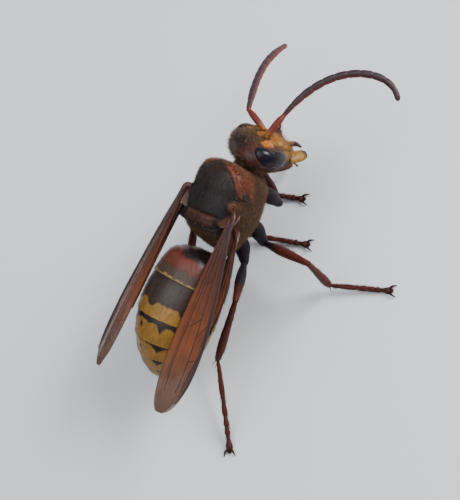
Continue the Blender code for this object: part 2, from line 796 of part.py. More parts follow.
def build_legs():
    for name in LEG_POSES:
        root, end, knee, ankle, toe = leg_line(name)
        hip_gap = clearance(root, end, knee, HIP_RADIUS)
        knee_gap = clearance(end, knee, ankle, END_RADIUS)
        ankle_gap = clearance(knee, ankle, toe, ANKLE_RADIUS)
        limb(f"coxa_{name}", root, end, 0.5 * GAP, hip_gap, COXA_SHAPE, COXA_RADIUS, "dark brown")
        limb(f"femur_{name}", end, knee, hip_gap, knee_gap, FEMUR_SHAPE, FEMUR_RADIUS, "leg brown")
        limb(f"tibia_{name}", knee, ankle, knee_gap, ankle_gap, TIBIA_SHAPE, TIBIA_RADIUS, "leg brown")
        tarsus(f"tarsus_{name}", ankle, toe, ankle_gap)


def wing_axes(side_name, side):
    """The wing's own directions: along it, outward across it, and square to its blade."""
    ahead = mirrored(heading(*WING_WAYS[side_name]), side)
    slope = math.radians(WING_SLOPE)
    out = mirrored((0.0, math.cos(slope), -math.sin(slope)), side)
    out = (out - ahead * out.dot(ahead)).normalized()
    normal = mirrored((0.0, math.sin(slope), math.cos(slope)), side)
    normal = (normal - ahead * normal.dot(ahead) - out * normal.dot(out)).normalized()
    return ahead, out, normal


def wing(kind, side_name, side, size, edge, grid):
    """One folded wing: a thin blade that hangs outward from its straight inner edge."""
    ahead, out, normal = wing_axes(side_name, side)
    rows, columns = grid
    root = mirrored(size["root"], side) + Vector((WING_DRAWN[side_name], 0.0, 0.0))
    vein_columns = (1, columns // 2, columns - 1)
    rings = []
    for k in range(rows + 1):
        share = k / rows
        width = profile(edge, share)[0]
        start = root + ahead * size["length"] * share
        upper = []
        lower = []
        for j in range(columns + 1):
            thick = WING_HALF_THICKNESS * (WING_EDGE_SHARE if j in (0, columns) else 1.0)
            vein = VEIN_RISE if j in vein_columns else 0.0
            place = start + out * width * (j / columns - size["inner"])
            upper.append(place + normal * (thick + vein))
            lower.append(place - normal * thick)
        rings.append(upper + lower[::-1])
    return loft(f"{kind}_{side_name}", thorax_frame(), rings, "amber")


def build_wings():
    for side_name, side in (("left", 1), ("right", -1)):
        wing("forewing", side_name, side, FOREWING, FOREWING_EDGE, FOREWING_GRID)
        wing("hindwing", side_name, side, HINDWING, HINDWING_EDGE, HINDWING_GRID)


def clear_scene():
    for obj in list(bpy.data.objects):
        bpy.data.objects.remove(obj)


clear_scene()
build_thorax()
build_head()
build_gaster()
build_antennae()
build_legs()
build_wings()
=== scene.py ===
"""The looks of a male European hornet: shell, eyes, mouthparts, feelers, wings, legs and pile.

Sizes are in millimetres, and MM turns them into metres. The frames and the stations follow those of
the part, so that each skin lies where its solids do.
"""

import math

import bpy
import numpy as np
from mathutils import Matrix, Vector


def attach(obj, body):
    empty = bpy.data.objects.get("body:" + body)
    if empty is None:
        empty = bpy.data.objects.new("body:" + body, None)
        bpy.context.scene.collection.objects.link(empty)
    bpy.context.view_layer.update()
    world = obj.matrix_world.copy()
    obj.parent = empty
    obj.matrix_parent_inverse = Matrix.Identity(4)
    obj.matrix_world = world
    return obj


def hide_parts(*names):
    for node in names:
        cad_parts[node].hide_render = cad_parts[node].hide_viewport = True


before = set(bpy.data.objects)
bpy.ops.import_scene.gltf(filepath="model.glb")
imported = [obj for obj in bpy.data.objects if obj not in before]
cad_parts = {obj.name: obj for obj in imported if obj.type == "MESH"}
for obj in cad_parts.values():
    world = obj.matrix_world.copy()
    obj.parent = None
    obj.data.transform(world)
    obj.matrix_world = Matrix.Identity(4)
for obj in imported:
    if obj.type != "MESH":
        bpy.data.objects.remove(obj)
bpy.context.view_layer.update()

MM = 0.001
UP = np.array((0.0, 0.0, 1.0))
SHIFT = np.array((-6.38, 3.46, 0.0))
PAINT = "Paint"
BAKE_MAP = "OFBake"
BAKE_PATCH = 0.003

# The thorax: where it stands, then (x, half width, top, bottom) stations from waist to neck.
THORAX_AT = (7.3, 0.6, 8.8)
THORAX_PITCH = 22.0
THORAX_ROLL = -12.0
THORAX_SECTIONS = (
    (-3.95, 0.55, -0.75, -1.55),
    (-3.65, 1.20, 0.00, -1.66),
    (-3.15, 1.85, 1.05, -1.80),
    (-2.55, 2.30, 2.15, -2.10),
    (-1.90, 2.60, 2.92, -2.50),
    (-1.00, 2.82, 3.08, -2.88),
    (0.00, 2.92, 3.08, -3.05),
    (1.00, 2.90, 2.98, -3.05),
    (1.85, 2.82, 2.88, -2.95),
    (2.60, 2.52, 2.44, -2.62),
    (3.10, 1.96, 1.66, -2.25),
    (3.40, 1.15, 0.50, -1.80),
)
FRONT_LEAN = 0.60
FRONT_LEAN_X = (1.0, 3.0)
FRONT_LEAN_Z = (0.0, 2.0)
THORAX_SQUARENESS = 2.15
THORAX_WIDEST = 0.56
COLLAR_TOP_X = 2.75
COLLAR_SIDE_X = 1.05
COLLAR_BELLY_X = 2.15
COLLAR_SIDE_LEVEL = 0.25
NECK_LINE = ((2.40, 0.0, -0.95), (3.30, 0.00, -1.15), (3.90, -0.08, -1.50), (4.60, -0.12, -1.75))
NECK_RADII = (1.35, 1.25, 1.15, 1.00)
THORAX_GRID = (190, 200)
SCUTELLUM_X = (-0.62, -1.78)
METANOTUM_X = -2.26
TEGULA = (0.45, 1.75)
SHOULDER_LOBE = (1.42, 0.85)

# The head, as (z, half width, front, back) stations from the lip up to the crown.
HEAD_SECTIONS = (
    (-2.45, 0.95, 1.08, -0.10),
    (-2.10, 1.58, 1.42, -0.45),
    (-1.50, 2.12, 1.66, -0.78),
    (-0.80, 2.57, 1.72, -1.00),
    (0.00, 2.82, 1.66, -1.12),
    (0.85, 2.78, 1.48, -1.22),
    (1.65, 2.42, 1.15, -1.22),
    (2.22, 1.60, 0.64, -1.05),
    (2.42, 0.70, 0.10, -0.60),
)
HEAD_GRID = (150, 200)
HEAD_SQUARENESS = 2.3
HEAD_AT = (4.98, -0.19, -1.92)
HEAD_YAW = -17.0
HEAD_PITCH = -4.0
HEAD_ROLL = -17.0
EYE_LINE = (
    (0.82, 1.76, 1.62),
    (0.55, 2.30, 1.00),
    (0.50, 2.46, 0.15),
    (0.84, 2.26, -0.60),
    (1.16, 1.94, -1.15),
)
EYE_HALF_WIDTHS = (0.30, 0.58, 0.62, 0.60, 0.28)
EYE_HALF_DEPTHS = (0.26, 0.42, 0.45, 0.42, 0.24)
EYE_OUTWARD = np.array((0.55, 1.0, 0.25))
EYE_GROW = 0.12
OCELLI = ((0.62, 0.0, 2.12), (0.22, 0.42, 2.30), (0.22, -0.42, 2.30))
OCELLUS_RADIUS = 0.1615
SINUS = (1.48, 1.50, 0.66)
MANDIBLE_LINE = ((0.78, 1.06, -2.20), (1.34, 1.04, -3.10), (1.58, 0.84, -3.46), (1.64, 0.42, -3.74))
MANDIBLE_HALF_WIDTHS = (0.62, 0.54, 0.38, 0.12)
MANDIBLE_HALF_DEPTHS = (0.30, 0.28, 0.20, 0.09)
FORWARD = np.array((1.0, 0.0, 0.0))
LIP_LINE = ((1.15, -0.62, -2.42), (1.32, 0.0, -2.58), (1.15, 0.62, -2.42))
LIP_SIZES = ((0.10, 0.30, 0.10), (0.06, 0.12, 0.06))
PALPS = (((0.35, 0.50, -2.40), (0.30, 0.75, -3.70)), ((0.55, 0.28, -2.45), (0.70, 0.30, -3.45)))
PALP_RADIUS = 0.075
PALP_BOW = 0.12

# The gaster, as (distance from the waist, half width, half height) stations.
GASTER_SECTIONS = (
    (0.00, 0.34, 0.34),
    (0.26, 0.44, 0.48),
    (0.40, 1.60, 1.50),
    (0.62, 2.35, 2.15),
    (1.10, 2.85, 2.62),
    (2.00, 3.12, 2.88),
    (3.30, 3.28, 3.02),
    (4.80, 3.40, 3.10),
    (6.30, 3.36, 3.04),
    (7.80, 3.12, 2.80),
    (9.10, 2.66, 2.38),
    (10.25, 2.05, 1.82),
    (11.10, 1.36, 1.20),
    (11.70, 0.55, 0.50),
)
GASTER_GRID = (330, 200)
GASTER_WIDEST = 0.48
GASTER_BELLY = 0.9
GASTER_SQUARENESS = 2.1
# The dark spots on each hind plate: share of its length, half angle, half length, angle.
GASTER_SPOTS = ((0.46, 3.4, 0.10, 36.0), (0.08, 7.0, 0.28, 72.0))
GASTER_JOINTS = (0.0, 3.15, 6.15, 8.00, 9.30, 10.25, 11.00, 11.70)
GASTER_YAW = -1.0
GASTER_LIFT = 27.0
GASTER_DROOP = 47.0
GASTER_TWIST = 25.0
WAIST_AT = (-4.42, 0.0, -1.17)
WAIST_RISE = 1.60
WAIST_RISE_LENGTH = 1.0

# Legs: the coxa's root and way on the thorax, then the lengths of femur, tibia and tarsus. A pose
# is the toe's place, the tarsus's heading, the ankle's height and the way that the knee bends.
LEG_SIZES = {
    "front": {"root": (1.60, 1.15, -3.25), "way": (-0.35, 0.15, -0.92), "lengths": (4.3, 3.9, 4.4)},
    "mid": {"root": (-1.40, 1.20, -3.00), "way": (-0.70, 0.25, -0.65), "lengths": (5.6, 4.8, 5.3)},
    "hind": {"root": (-3.05, 0.85, -2.30), "way": (-0.86, 0.20, -0.34), "lengths": (5.0, 6.4, 7.9)},
}
COXA_LENGTH = 1.7
COXA_SINK = 0.5
LEG_POSES = {
    "front_right": {"toe": (17.2, 4.6), "tarsus": 50, "ankle": 0.9, "bend": (80, 20)},
    "front_left": {"toe": (12.0, -1.0), "tarsus": -75, "ankle": 0.9, "bend": (90, 30)},
    "mid_right": {"toe": (7.3, -12.6), "tarsus": -71, "ankle": 0.9, "bend": (-90, 60)},
    "mid_left": {"toe": (8.3, -3.5), "tarsus": -76, "ankle": 0.9, "bend": (90, 20)},
    "hind_right": {"toe": (-10.9, -5.8), "tarsus": -152, "ankle": 3.2, "bend": (-143, 35)},
    "hind_left": {"toe": (-5.5, 4.0), "tarsus": 185, "ankle": 3.0, "bend": (60, 30)},
}
TOE_HEIGHT = 0.12
COXA_RADII = (0.50, 0.66, 0.66, 0.52, 0.40)
TROCHANTER_RADIUS = 0.36
FEMUR_RADII = (0.26, 0.34, 0.44, 0.48, 0.46, 0.40, 0.33, 0.28)
TIBIA_RADII = (0.22, 0.27, 0.30, 0.34, 0.38, 0.40, 0.38, 0.26)
KNEE_RADIUS = 0.27
LIMB_FLAT = 0.9
FEMUR_DARK_UNTIL = {"front": 0.35, "mid": 0.35, "hind": 0.75}
SPUR_LENGTH = 0.85
SPUR_RADIUS = 0.075
TARSUS_JOINTS = (0.0, 0.44, 0.62, 0.74, 0.83, 1.0)
TARSUS_RADIUS = 0.26
CLAW_LENGTH = 0.85
TARSUS_OVERLAP = 0.04
TARSUS_SPINE_RADIUS = 0.05
TARSUS_SHAPE = (0.55, 0.72, 0.84, 1.0, 0.72)
TARSUS_TOE_SHAPE = (0.525, 0.651, 0.8925, 1.2075, 0.945)
CLAW_HOOK = ((0.0, 0.0, 0.0), (0.45, 0.42, 0.12), (0.90, 0.62, -0.10))
CLAW_RADII = (0.13, 0.10, 0.025)
PAD_RADIUS = 0.20
LEG_SEED = 60

# Bristles on the femur, the tibia and the foot, as (radii, count).
BRISTLES = ((FEMUR_RADII, 130), (TIBIA_RADII, 260), ((0.2, 0.24, 0.24, 0.24), 260))
BRISTLE_LENGTHS = (0.16, 0.32)
BRISTLE_WIDTH = 0.012

# Antennae: sockets on the head, then the ways of the scape and of the flagellum along its length.
ANTENNA_SOCKET = (1.90, 0.66, 0.55)
SOCKET_RADIUS = 0.24
SCAPE_SINK = 0.35
SCAPE_LENGTH = 2.2
SCAPE_RADII = (0.16, 0.25, 0.29, 0.30, 0.28, 0.18)
KNUCKLE_RADIUS = 0.2
FLAGELLUM_RADIUS = 0.34
FLAGELLUM_LENGTH = 11.7
FLAGELLUM_SEGMENTS = 11
FLAGELLUM_TIP = np.array((0.9, 0.7, 0.35))
ANTENNA_WAYS = {
    "right": (
        (0.97, -0.24, 0.0),
        (0.97, -0.24, 0.0),
        (0.88, -0.46, -0.12),
        (0.62, -0.76, -0.22),
        (0.10, -0.94, -0.32),
        (-0.85, -0.50, -0.38),
    ),
    "left": (
        (0.45, 0.88, 0.10),
        (0.80, 0.46, -0.38),
        (0.78, 0.42, -0.46),
        (0.77, 0.33, -0.54),
        (0.71, 0.22, -0.67),
        (0.58, 0.20, -0.78),
    ),
}

# Wings folded lengthwise. Ways are (heading, rise) in the thorax's frame. Layers are the heights of
# the upper and the folded half, and folded is how far across that half reaches. The shoulder is the
# hinge on the body, and joint the middle of the soft skin there. Edges are (along, width), and veins
# are places along and across, with a radius.
WING_WAYS = {"left": (180.5, 15.5), "right": (176.0, 11.5)}
WING_SLOPE = 24.0
WING_DRAWN = {"left": 0.40, "right": -0.50}
WING_HALF_THICKNESS = 0.018
FOREWING = {
    "name": "forewing",
    "root": (0.20, 3.05, 2.15),
    "length": 17.0,
    "inner": 0.35,
    "grid": (90, 26),
    "layers": (0.13, -0.11),
    "folded": 0.86,
    "shoulder": (0.50, 2.25, 1.62),
    "joint": (-0.10, 2.10, 1.70),
    "hinge": (0.09, 0.24),
    "edge": (
        (0.0, 0.50),
        (0.06, 0.68),
        (0.20, 1.40),
        (0.40, 2.25),
        (0.62, 2.90),
        (0.80, 2.85),
        (0.92, 2.20),
        (0.98, 1.35),
        (1.0, 0.65),
    ),
    "veins": (
        (((0.0, 0.90), (0.3, 0.97), (0.6, 0.985), (0.8, 0.97), (0.93, 0.93)), 0.085),
        (((0.0, 0.75), (0.3, 0.88), (0.58, 0.93), (0.66, 0.955)), 0.07),
        (((0.02, 0.55), (0.25, 0.62), (0.5, 0.66), (0.72, 0.70), (0.88, 0.72)), 0.05),
        (((0.03, 0.35), (0.25, 0.35), (0.5, 0.30), (0.75, 0.28), (0.9, 0.35)), 0.045),
        (((0.52, 0.92), (0.56, 0.78), (0.60, 0.66)), 0.04),
        (((0.66, 0.95), (0.74, 0.86), (0.84, 0.84), (0.90, 0.92)), 0.045),
        (((0.70, 0.88), (0.71, 0.78), (0.72, 0.70)), 0.035),
        (((0.50, 0.66), (0.54, 0.48), (0.56, 0.30)), 0.035),
        (((0.30, 0.62), (0.33, 0.48), (0.34, 0.34)), 0.03),
    ),
}
HINDWING = {
    "name": "hindwing",
    "root": (-1.50, 3.42, 1.48),
    "length": 10.0,
    "inner": 0.05,
    "grid": (50, 16),
    "layers": (0.06, -0.06),
    "folded": 0.8,
    "shoulder": (-1.05, 2.35, 1.05),
    "joint": (-1.35, 2.10, 1.15),
    "hinge": (0.12, 0.18),
    "edge": ((0.0, 0.30), (0.10, 0.55), (0.35, 1.05), (0.65, 1.20), (0.90, 0.85), (1.0, 0.40)),
    "veins": (
        (((0.0, 0.85), (0.4, 0.95), (0.8, 0.95)), 0.05),
        (((0.03, 0.45), (0.4, 0.5), (0.8, 0.5)), 0.035),
    ),
}
WING_JOINT_WIDTHS = (0.8, 4.4, 4.0, 2.4)

# Hairs: how deep one starts under the skin, a way that its thickness is square to, then its seven
# points' shade and place on its patch of the bake map, and its faces.
HAIR_SINK = 0.04
HAIR_CROSS = np.array((0.31, 0.52, 0.79))
HAIR_SHADE = np.array((0.7, 0.7, 0.7, 1.0, 1.0, 1.0, 1.15))
HAIR_PATCH = np.array(((0, 0), (1, 0), (0.5, 1), (0.2, 0.4), (0.8, 0.4), (0.5, 0.9), (0.5, 0.5)))
HAIR_FACES = ((2, 1, 0), (0, 1, 4, 3), (1, 2, 5, 4), (2, 0, 3, 5), (3, 4, 6), (4, 5, 6), (5, 3, 6))

# The floor and the sky, then the camera, which looks at the middle of the picture.
FLOOR_HALF_SIZE = 1.2
FLOOR_CORNERS = ((-1, -1), (1, -1), (1, 1), (-1, 1))
FLOOR_COLOUR = (0.70, 0.72, 0.75, 1.0)
SKY_COLOUR = (0.82, 0.88, 0.95, 1.0)
SKY_STRENGTH = 0.38
CAMERA_TARGET = (4.09, -0.96, 7.42)
CAMERA_DISTANCE = 110.0
CAMERA_AZIMUTH = -103.54
CAMERA_ELEVATION = 58.79
CAMERA_ROLL = -51.15
CAMERA_LENS = 93.5
CAMERA_SENSOR = 36.0
CAMERA_REACH = (0.001, 10.0)
SIDES = (("left", 1), ("right", -1))


def srgb(red, green, blue):
    """A display colour, 0 to 255, as linear light."""
    values = np.array((red, green, blue)) / 255.0
    return np.where(values <= 0.04045, values / 12.92, ((values + 0.055) / 1.055) ** 2.4)


NEAR_BLACK = srgb(20, 14, 15)
DARK_BROWN = srgb(38, 25, 20)
GREY_BROWN = srgb(58, 43, 33)
RED_DARK = srgb(46, 18, 14)
CHESTNUT = srgb(72, 22, 14)
BAND_RED = srgb(88, 38, 27)
VERTEX_RED = srgb(60, 27, 23)
BRICK = srgb(118, 54, 36)
SCUTELLUM_RED = srgb(72, 34, 25)
TEGULA_BROWN = srgb(84, 42, 24)
HINGE_BROWN = srgb(62, 30, 20)
PLEURA_BROWN = srgb(50, 33, 24)
YELLOW = srgb(138, 99, 33)
PALE_YELLOW = srgb(132, 104, 58)
FACE_YELLOW = srgb(160, 106, 30)
ORANGE = srgb(188, 106, 24)
TIP_ORANGE = srgb(112, 68, 30)
LEG_BLACK = srgb(26, 18, 24)
LEG_RED = srgb(72, 27, 22)
LEG_TIP = srgb(60, 27, 22)
ANTENNA_RED = srgb(96, 32, 20)
# The dark bluish sheen painted on the feelers' upper side.
ANTENNA_SHEEN = srgb(48, 33, 38)
EYE_DARK = srgb(16, 13, 26)
# The grey of the pale floor's painted reflection on the eyes' lower part.
EYE_FLOOR_REFLECTION = srgb(52, 50, 46)
GOLD_HAIR = srgb(150, 110, 60)
BROWN_HAIR = srgb(88, 62, 42)
DARK_HAIR = srgb(44, 34, 28)
MANDIBLE_DARK = srgb(56, 24, 16)
AMBER = srgb(116, 58, 24)
WING_DARK = srgb(44, 18, 18)
WING_TIP = srgb(96, 62, 44)
OCELLUS_BROWN = srgb(50, 24, 16)


def mix(first, second, share):
    """Two colours or colour fields mixed, share being 0 for the first."""
    share = np.clip(share, 0.0, 1.0)[..., None]
    return first * (1.0 - share) + second * share


def layered(colour, *layers):
    """A colour with each (colour, share) layer laid over it in turn."""
    for over, share in layers:
        colour = mix(colour, over, share)
    return colour


def smooth(low, high, value):
    t = np.clip((value - low) / (high - low), 0.0, 1.0)
    return t * t * (3.0 - 2.0 * t)


def hump(value, centre, width):
    return np.exp(-(((value - centre) / width) ** 2))


def between(low, high, fade, value):
    """1 between low and high, fading inside both ends."""
    return smooth(low, low + fade, value) * smooth(high, high - fade, value)


def shares(count):
    return np.linspace(0.0, 1.0, count)


def ring_angles(count):
    return 2.0 * np.pi * np.arange(count) / count


def turn(yaw=0.0, pitch=0.0, roll=0.0):
    """Turns by roll about X, then nose up by pitch, then left by yaw, in degrees."""
    return (
        Matrix.Rotation(math.radians(yaw), 4, "Z")
        @ Matrix.Rotation(math.radians(-pitch), 4, "Y")
        @ Matrix.Rotation(math.radians(roll), 4, "X")
    )


def heading(angle, rise):
    a = math.radians(angle)
    e = math.radians(rise)
    return np.array((math.cos(a) * math.cos(e), math.sin(a) * math.cos(e), math.sin(e)))


def mirrored(points, side):
    """These points on the given side, 1 being the left one that they are written for."""
    return np.array(points, dtype=float) * (1.0, side, 1.0)


def unit(vector):
    return vector / np.linalg.norm(vector, axis=-1, keepdims=True)


def profile(stations, at):
    """The stations' values at these places, on a smooth curve through them."""
    table = np.array(stations, dtype=float)
    places = table[:, 0]
    values = table[:, 1:]
    at = np.clip(np.asarray(at, dtype=float), places[0], places[-1])
    slopes = np.empty_like(values)
    slopes[1:-1] = (values[2:] - values[:-2]) / (places[2:] - places[:-2])[:, None]
    slopes[0] = (values[1] - values[0]) / (places[1] - places[0])
    slopes[-1] = (values[-1] - values[-2]) / (places[-1] - places[-2])
    i = np.clip(np.searchsorted(places, at, side="right") - 1, 0, len(places) - 2)
    span = places[i + 1] - places[i]
    t = ((at - places[i]) / span)[..., None]
    h = t * t * (3.0 - 2.0 * t)
    bend = slopes[i] * t * (1.0 - t) ** 2 - slopes[i + 1] * t * t * (1.0 - t)
    return values[i] * (1.0 - h) + values[i + 1] * h + span[..., None] * bend


def signed_power(value, power):
    return np.sign(value) * np.abs(value) ** power


def section(angle, half_width, top, bottom, widest, squareness):
    """Sideways and upward distances of a rounded section at these angles."""
    middle = bottom + widest * (top - bottom)
    side = half_width * signed_power(np.cos(angle), 2.0 / squareness)
    rise = signed_power(np.sin(angle), 2.0 / squareness)
    return side, middle + rise * np.where(rise > 0.0, top - middle, middle - bottom)


THORAX_FRAME = Matrix.Translation(Vector(THORAX_AT)) @ turn(0.0, THORAX_PITCH, THORAX_ROLL)
HEAD_TURN = turn(HEAD_YAW, HEAD_PITCH, HEAD_ROLL)
HEAD_FRAME = THORAX_FRAME @ Matrix.Translation(Vector(HEAD_AT)) @ HEAD_TURN
GASTER_FRAME = THORAX_FRAME @ Matrix.Translation(Vector(WAIST_AT)) @ turn(GASTER_YAW)
MODEL_FRAME = Matrix.Identity(4)


def placed(local_frame, points):
    """Points of a frame, in metres about the part's origin."""
    m = np.array(local_frame)
    return (points @ m[:3, :3].T + m[:3, 3] + SHIFT) * MM


def to_model(local_frame, point):
    """A point of a frame on the model, in millimetres, before the shift."""
    m = np.array(local_frame)
    return np.asarray(point) @ m[:3, :3].T + m[:3, 3]


# Materials


def shader_of(material):
    return material.node_tree.nodes["Principled BSDF"]


def add_node(material, kind, **settings):
    """A new node with these inputs set. An underscore stands for a space in an input's name."""
    node = material.node_tree.nodes.new("ShaderNode" + kind)
    for name, value in settings.items():
        node.inputs[name.replace("_", " ")].default_value = value
    return node


def new_material(name, roughness, gloss=0.5):
    material = bpy.data.materials.new(name)
    material.use_nodes = True
    shader_of(material).inputs["Roughness"].default_value = roughness
    shader_of(material).inputs["Specular IOR Level"].default_value = gloss
    return material


def noise_over(material, scale, detail):
    """A noise over the object, scale in features per metre."""
    place = add_node(material, "TexCoord")
    noise = add_node(material, "TexNoise", Scale=scale, Detail=detail)
    material.node_tree.links.new(place.outputs["Object"], noise.inputs["Vector"])
    return noise.outputs["Fac"]


def paint_colour(material, low, high, scale):
    """Drives the base colour by the painted attribute, varied by a noise between low and high."""
    link = material.node_tree.links.new
    paint = add_node(material, "Attribute")
    paint.attribute_name = PAINT
    spread = add_node(material, "MapRange", From_Min=0.3, From_Max=0.7, To_Min=low, To_Max=high)
    link(noise_over(material, scale, 6.0), spread.inputs["Value"])
    scale_by = add_node(material, "VectorMath")
    scale_by.operation = "SCALE"
    link(paint.outputs["Color"], scale_by.inputs[0])
    link(spread.outputs["Result"], scale_by.inputs["Scale"])
    link(scale_by.outputs["Vector"], shader_of(material).inputs["Base Color"])
    return paint


def add_bump(material, scale, depth):
    """Fine relief, scale in features per metre and depth in millimetres."""
    link = material.node_tree.links.new
    bump = add_node(material, "Bump", Distance=depth * MM)
    link(noise_over(material, scale, 4.0), bump.inputs["Height"])
    link(bump.outputs["Normal"], shader_of(material).inputs["Normal"])


def shell_material(
    name, roughness, low=0.82, high=1.18, noise=1400.0, bump_scale=9000.0, depth=0.02, gloss=0.5
):
    material = new_material(name, roughness, gloss)
    paint_colour(material, low, high, noise)
    add_bump(material, bump_scale, depth)
    return material


def membrane_material():
    material = new_material("wing membrane", 0.46, 0.3)
    paint = paint_colour(material, 0.8, 1.2, 900.0)
    material.node_tree.links.new(paint.outputs["Alpha"], shader_of(material).inputs["Alpha"])
    add_bump(material, 2600.0, 0.015)
    return material


def hair_material():
    material = new_material("pile", 0.6)
    paint_colour(material, 0.9, 1.1, 2500.0)
    return material


THORAX_SHELL = shell_material("thorax shell", 0.48, depth=0.035, gloss=0.35)
HEAD_SHELL = shell_material("head shell", 0.38, gloss=0.4)
GASTER_SHELL = shell_material("gaster shell", 0.34, 0.76, 1.16, 1100.0, depth=0.016, gloss=0.4)
LEG_SHELL = shell_material("leg shell", 0.50, gloss=0.15)
ANTENNA_SHELL = shell_material("antenna shell", 0.45, gloss=0.3)
MANDIBLE_SHELL = shell_material("mandible shell", 0.42, 0.52, 1.20, 3600.0, gloss=0.3)
EYE_SHELL = shell_material("eye lens", 0.20, 0.9, 1.1, 1800.0, 30000.0, 0.006, gloss=0.24)
OCELLUS_SHELL = shell_material("ocellus lens", 0.08, 0.95, 1.05)
VEIN_SHELL = shell_material("wing vein", 0.4)
MEMBRANE = membrane_material()
HAIR = hair_material()


# Meshes


def add_to_scene(name, data):
    obj = bpy.data.objects.new(name, data)
    bpy.context.scene.collection.objects.link(obj)
    return obj


def finish_piece(obj, nodes=()):
    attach(obj, "root")
    if nodes:
        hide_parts(*nodes)


def mesh_object(name, vertices, faces, colours, material):
    """A smooth mesh object, painted vertex by vertex. Vertices are in metres."""
    data = bpy.data.meshes.new(name)
    data.from_pydata(vertices.tolist(), [], faces)
    layer = data.color_attributes.new(PAINT, "FLOAT_COLOR", "POINT")
    full = np.ones((len(vertices), 4))
    full[:, : colours.shape[1]] = colours
    layer.data.foreach_set("color", full.ravel())
    data.materials.append(material)
    data.shade_smooth()
    data.update()
    return add_to_scene(name, data)


def runs_inward(rings):
    """True where faces laid (this, next, next row) would face the tube's inside."""
    middle = len(rings) // 2
    centre = rings[middle].mean(0)
    along = rings[middle + 1].mean(0) - centre
    area = np.cross(rings[middle] - centre, np.roll(rings[middle], -1, 0) - centre).sum(0)
    return np.dot(area, along) < 0.0


def tube_faces(points, start):
    """Faces of a closed tube whose points are numbered from start, with a fan over each end."""
    rows, columns = points.shape[:2]
    here = start + np.arange(rows * columns).reshape(rows, columns)
    beside = np.roll(here, -1, 1)
    first = np.full(columns, start + rows * columns)
    quads = np.stack([here[:-1], beside[:-1], beside[1:], here[1:]], axis=-1).reshape(-1, 4)
    fans = np.stack([[beside[0], here[0], first], [here[-1], beside[-1], first + 1]])
    fans = fans.transpose(2, 0, 1).reshape(-1, 3)
    if runs_inward(points):
        quads = quads[:, (0, 3, 2, 1)]
        fans = fans[:, (1, 0, 2)]
    return quads.tolist() + fans.tolist()


class Pieces:
    """Closed tubes in one frame, collected into one mesh."""

    def __init__(self, local_frame):
        self.local_frame = local_frame
        self.points = []
        self.faces = []
        self.colours = []

    def add(self, rings, colours):
        """A tube, kept above the floor. Colours are one for all, one per ring or one per point."""
        points = placed(self.local_frame, rings)
        points[..., 2] = np.maximum(points[..., 2], 0.0)
        colours = colours[:, None] if colours.ndim == 2 else colours
        colours = np.broadcast_to(colours, (*points.shape[:2], colours.shape[-1]))
        self.faces.extend(tube_faces(points, len(self.points)))
        for found, values in ((self.points, points), (self.colours, colours)):
            found.extend(values.reshape(-1, values.shape[-1]))
            found.extend((values[0].mean(0), values[-1].mean(0)))

    def finish(self, name, material, nodes=()):
        points = np.array(self.points)
        obj = mesh_object(name, points, self.faces, np.array(self.colours), material)
        finish_piece(obj, nodes)


def grid_normals(points):
    """Outward unit normals of a grid whose columns close round."""
    along = np.gradient(points, axis=0)
    across = np.roll(points, -1, 1) - np.roll(points, 1, 1)
    normals = np.cross(across, along)
    length = np.linalg.norm(normals, axis=-1, keepdims=True)
    normals = normals / np.maximum(length, 1e-12)
    centre = points.mean(1, keepdims=True)
    return -normals if np.sum(normals * (points - centre)) < 0.0 else normals


def raised(points, relief, paint):
    """A skin's points with its relief on them, their normals and its paint."""
    points = points + grid_normals(points) * relief[..., None]
    return points, grid_normals(points), paint


def line_through(points, count):
    """A smooth line through these points or values."""
    points = np.asarray(points, dtype=float)
    stations = np.column_stack([np.arange(len(points)), points])
    return profile(stations, np.linspace(0.0, len(points) - 1.0, count))


def values_through(values, count):
    return line_through(values, count)[:, 0]


def tube(line, half_widths, half_depths, outward, sides):
    """Rings round a line. half_depths lie along outward, half_widths across it."""
    ahead = unit(np.gradient(line, axis=0))
    outward = np.broadcast_to(outward, line.shape)
    out = unit(outward - ahead * np.sum(outward * ahead, axis=1, keepdims=True))
    across = np.cross(ahead, out)
    angles = 2.0 * np.pi * (np.arange(sides) + 0.5) / sides
    half_widths = np.broadcast_to(half_widths, len(line))[:, None]
    half_depths = np.broadcast_to(half_depths, len(line))[:, None]
    return (
        line[:, None, :]
        + across[:, None, :] * (np.cos(angles) * half_widths)[..., None]
        + out[:, None, :] * (np.sin(angles) * half_depths)[..., None]
    )


def rod(line, radii, sides, outward=UP):
    return tube(line, radii, radii, outward, sides)


def ball_rings(centre, radius, sides=16, rows=10, height=1.0):
    """A round bead as rings, flattened to this share of its height."""
    latitude = (np.pi * (np.arange(rows) + 0.5) / rows - np.pi / 2.0)[:, None]
    longitude = ring_angles(sides)
    rings = np.empty((rows, sides, 3))
    rings[..., 0] = np.cos(latitude) * np.cos(longitude)
    rings[..., 1] = np.cos(latitude) * np.sin(longitude)
    rings[..., 2] = np.sin(latitude)
    return rings * radius * np.array((1.0, 1.0, height)) + np.asarray(centre)


# Thorax


def collar_edge(angle):
    """How far back the pronotum reaches, round the thorax: furthest on the sides."""
    level = np.sin(angle)
    over = smooth(COLLAR_SIDE_LEVEL, 1.0, level)
    under = smooth(0.0, 1.0 + COLLAR_SIDE_LEVEL, COLLAR_SIDE_LEVEL - level)
    above = COLLAR_SIDE_X + (COLLAR_TOP_X - COLLAR_SIDE_X) * over
    below = COLLAR_SIDE_X + (COLLAR_BELLY_X - COLLAR_SIDE_X) * under
    return np.where(level > COLLAR_SIDE_LEVEL, above, below)


def from_tegula(x, z):
    """How far a place on the side is from the scale over the wing's root."""
    return np.hypot(x - TEGULA[0], 1.2 * (z - TEGULA[1]))


def from_lobe(x, z):
    """How far a place on the side is from the lobe at the pronotum's hind corner."""
    return np.hypot(x - SHOULDER_LOBE[0], z - SHOULDER_LOBE[1])


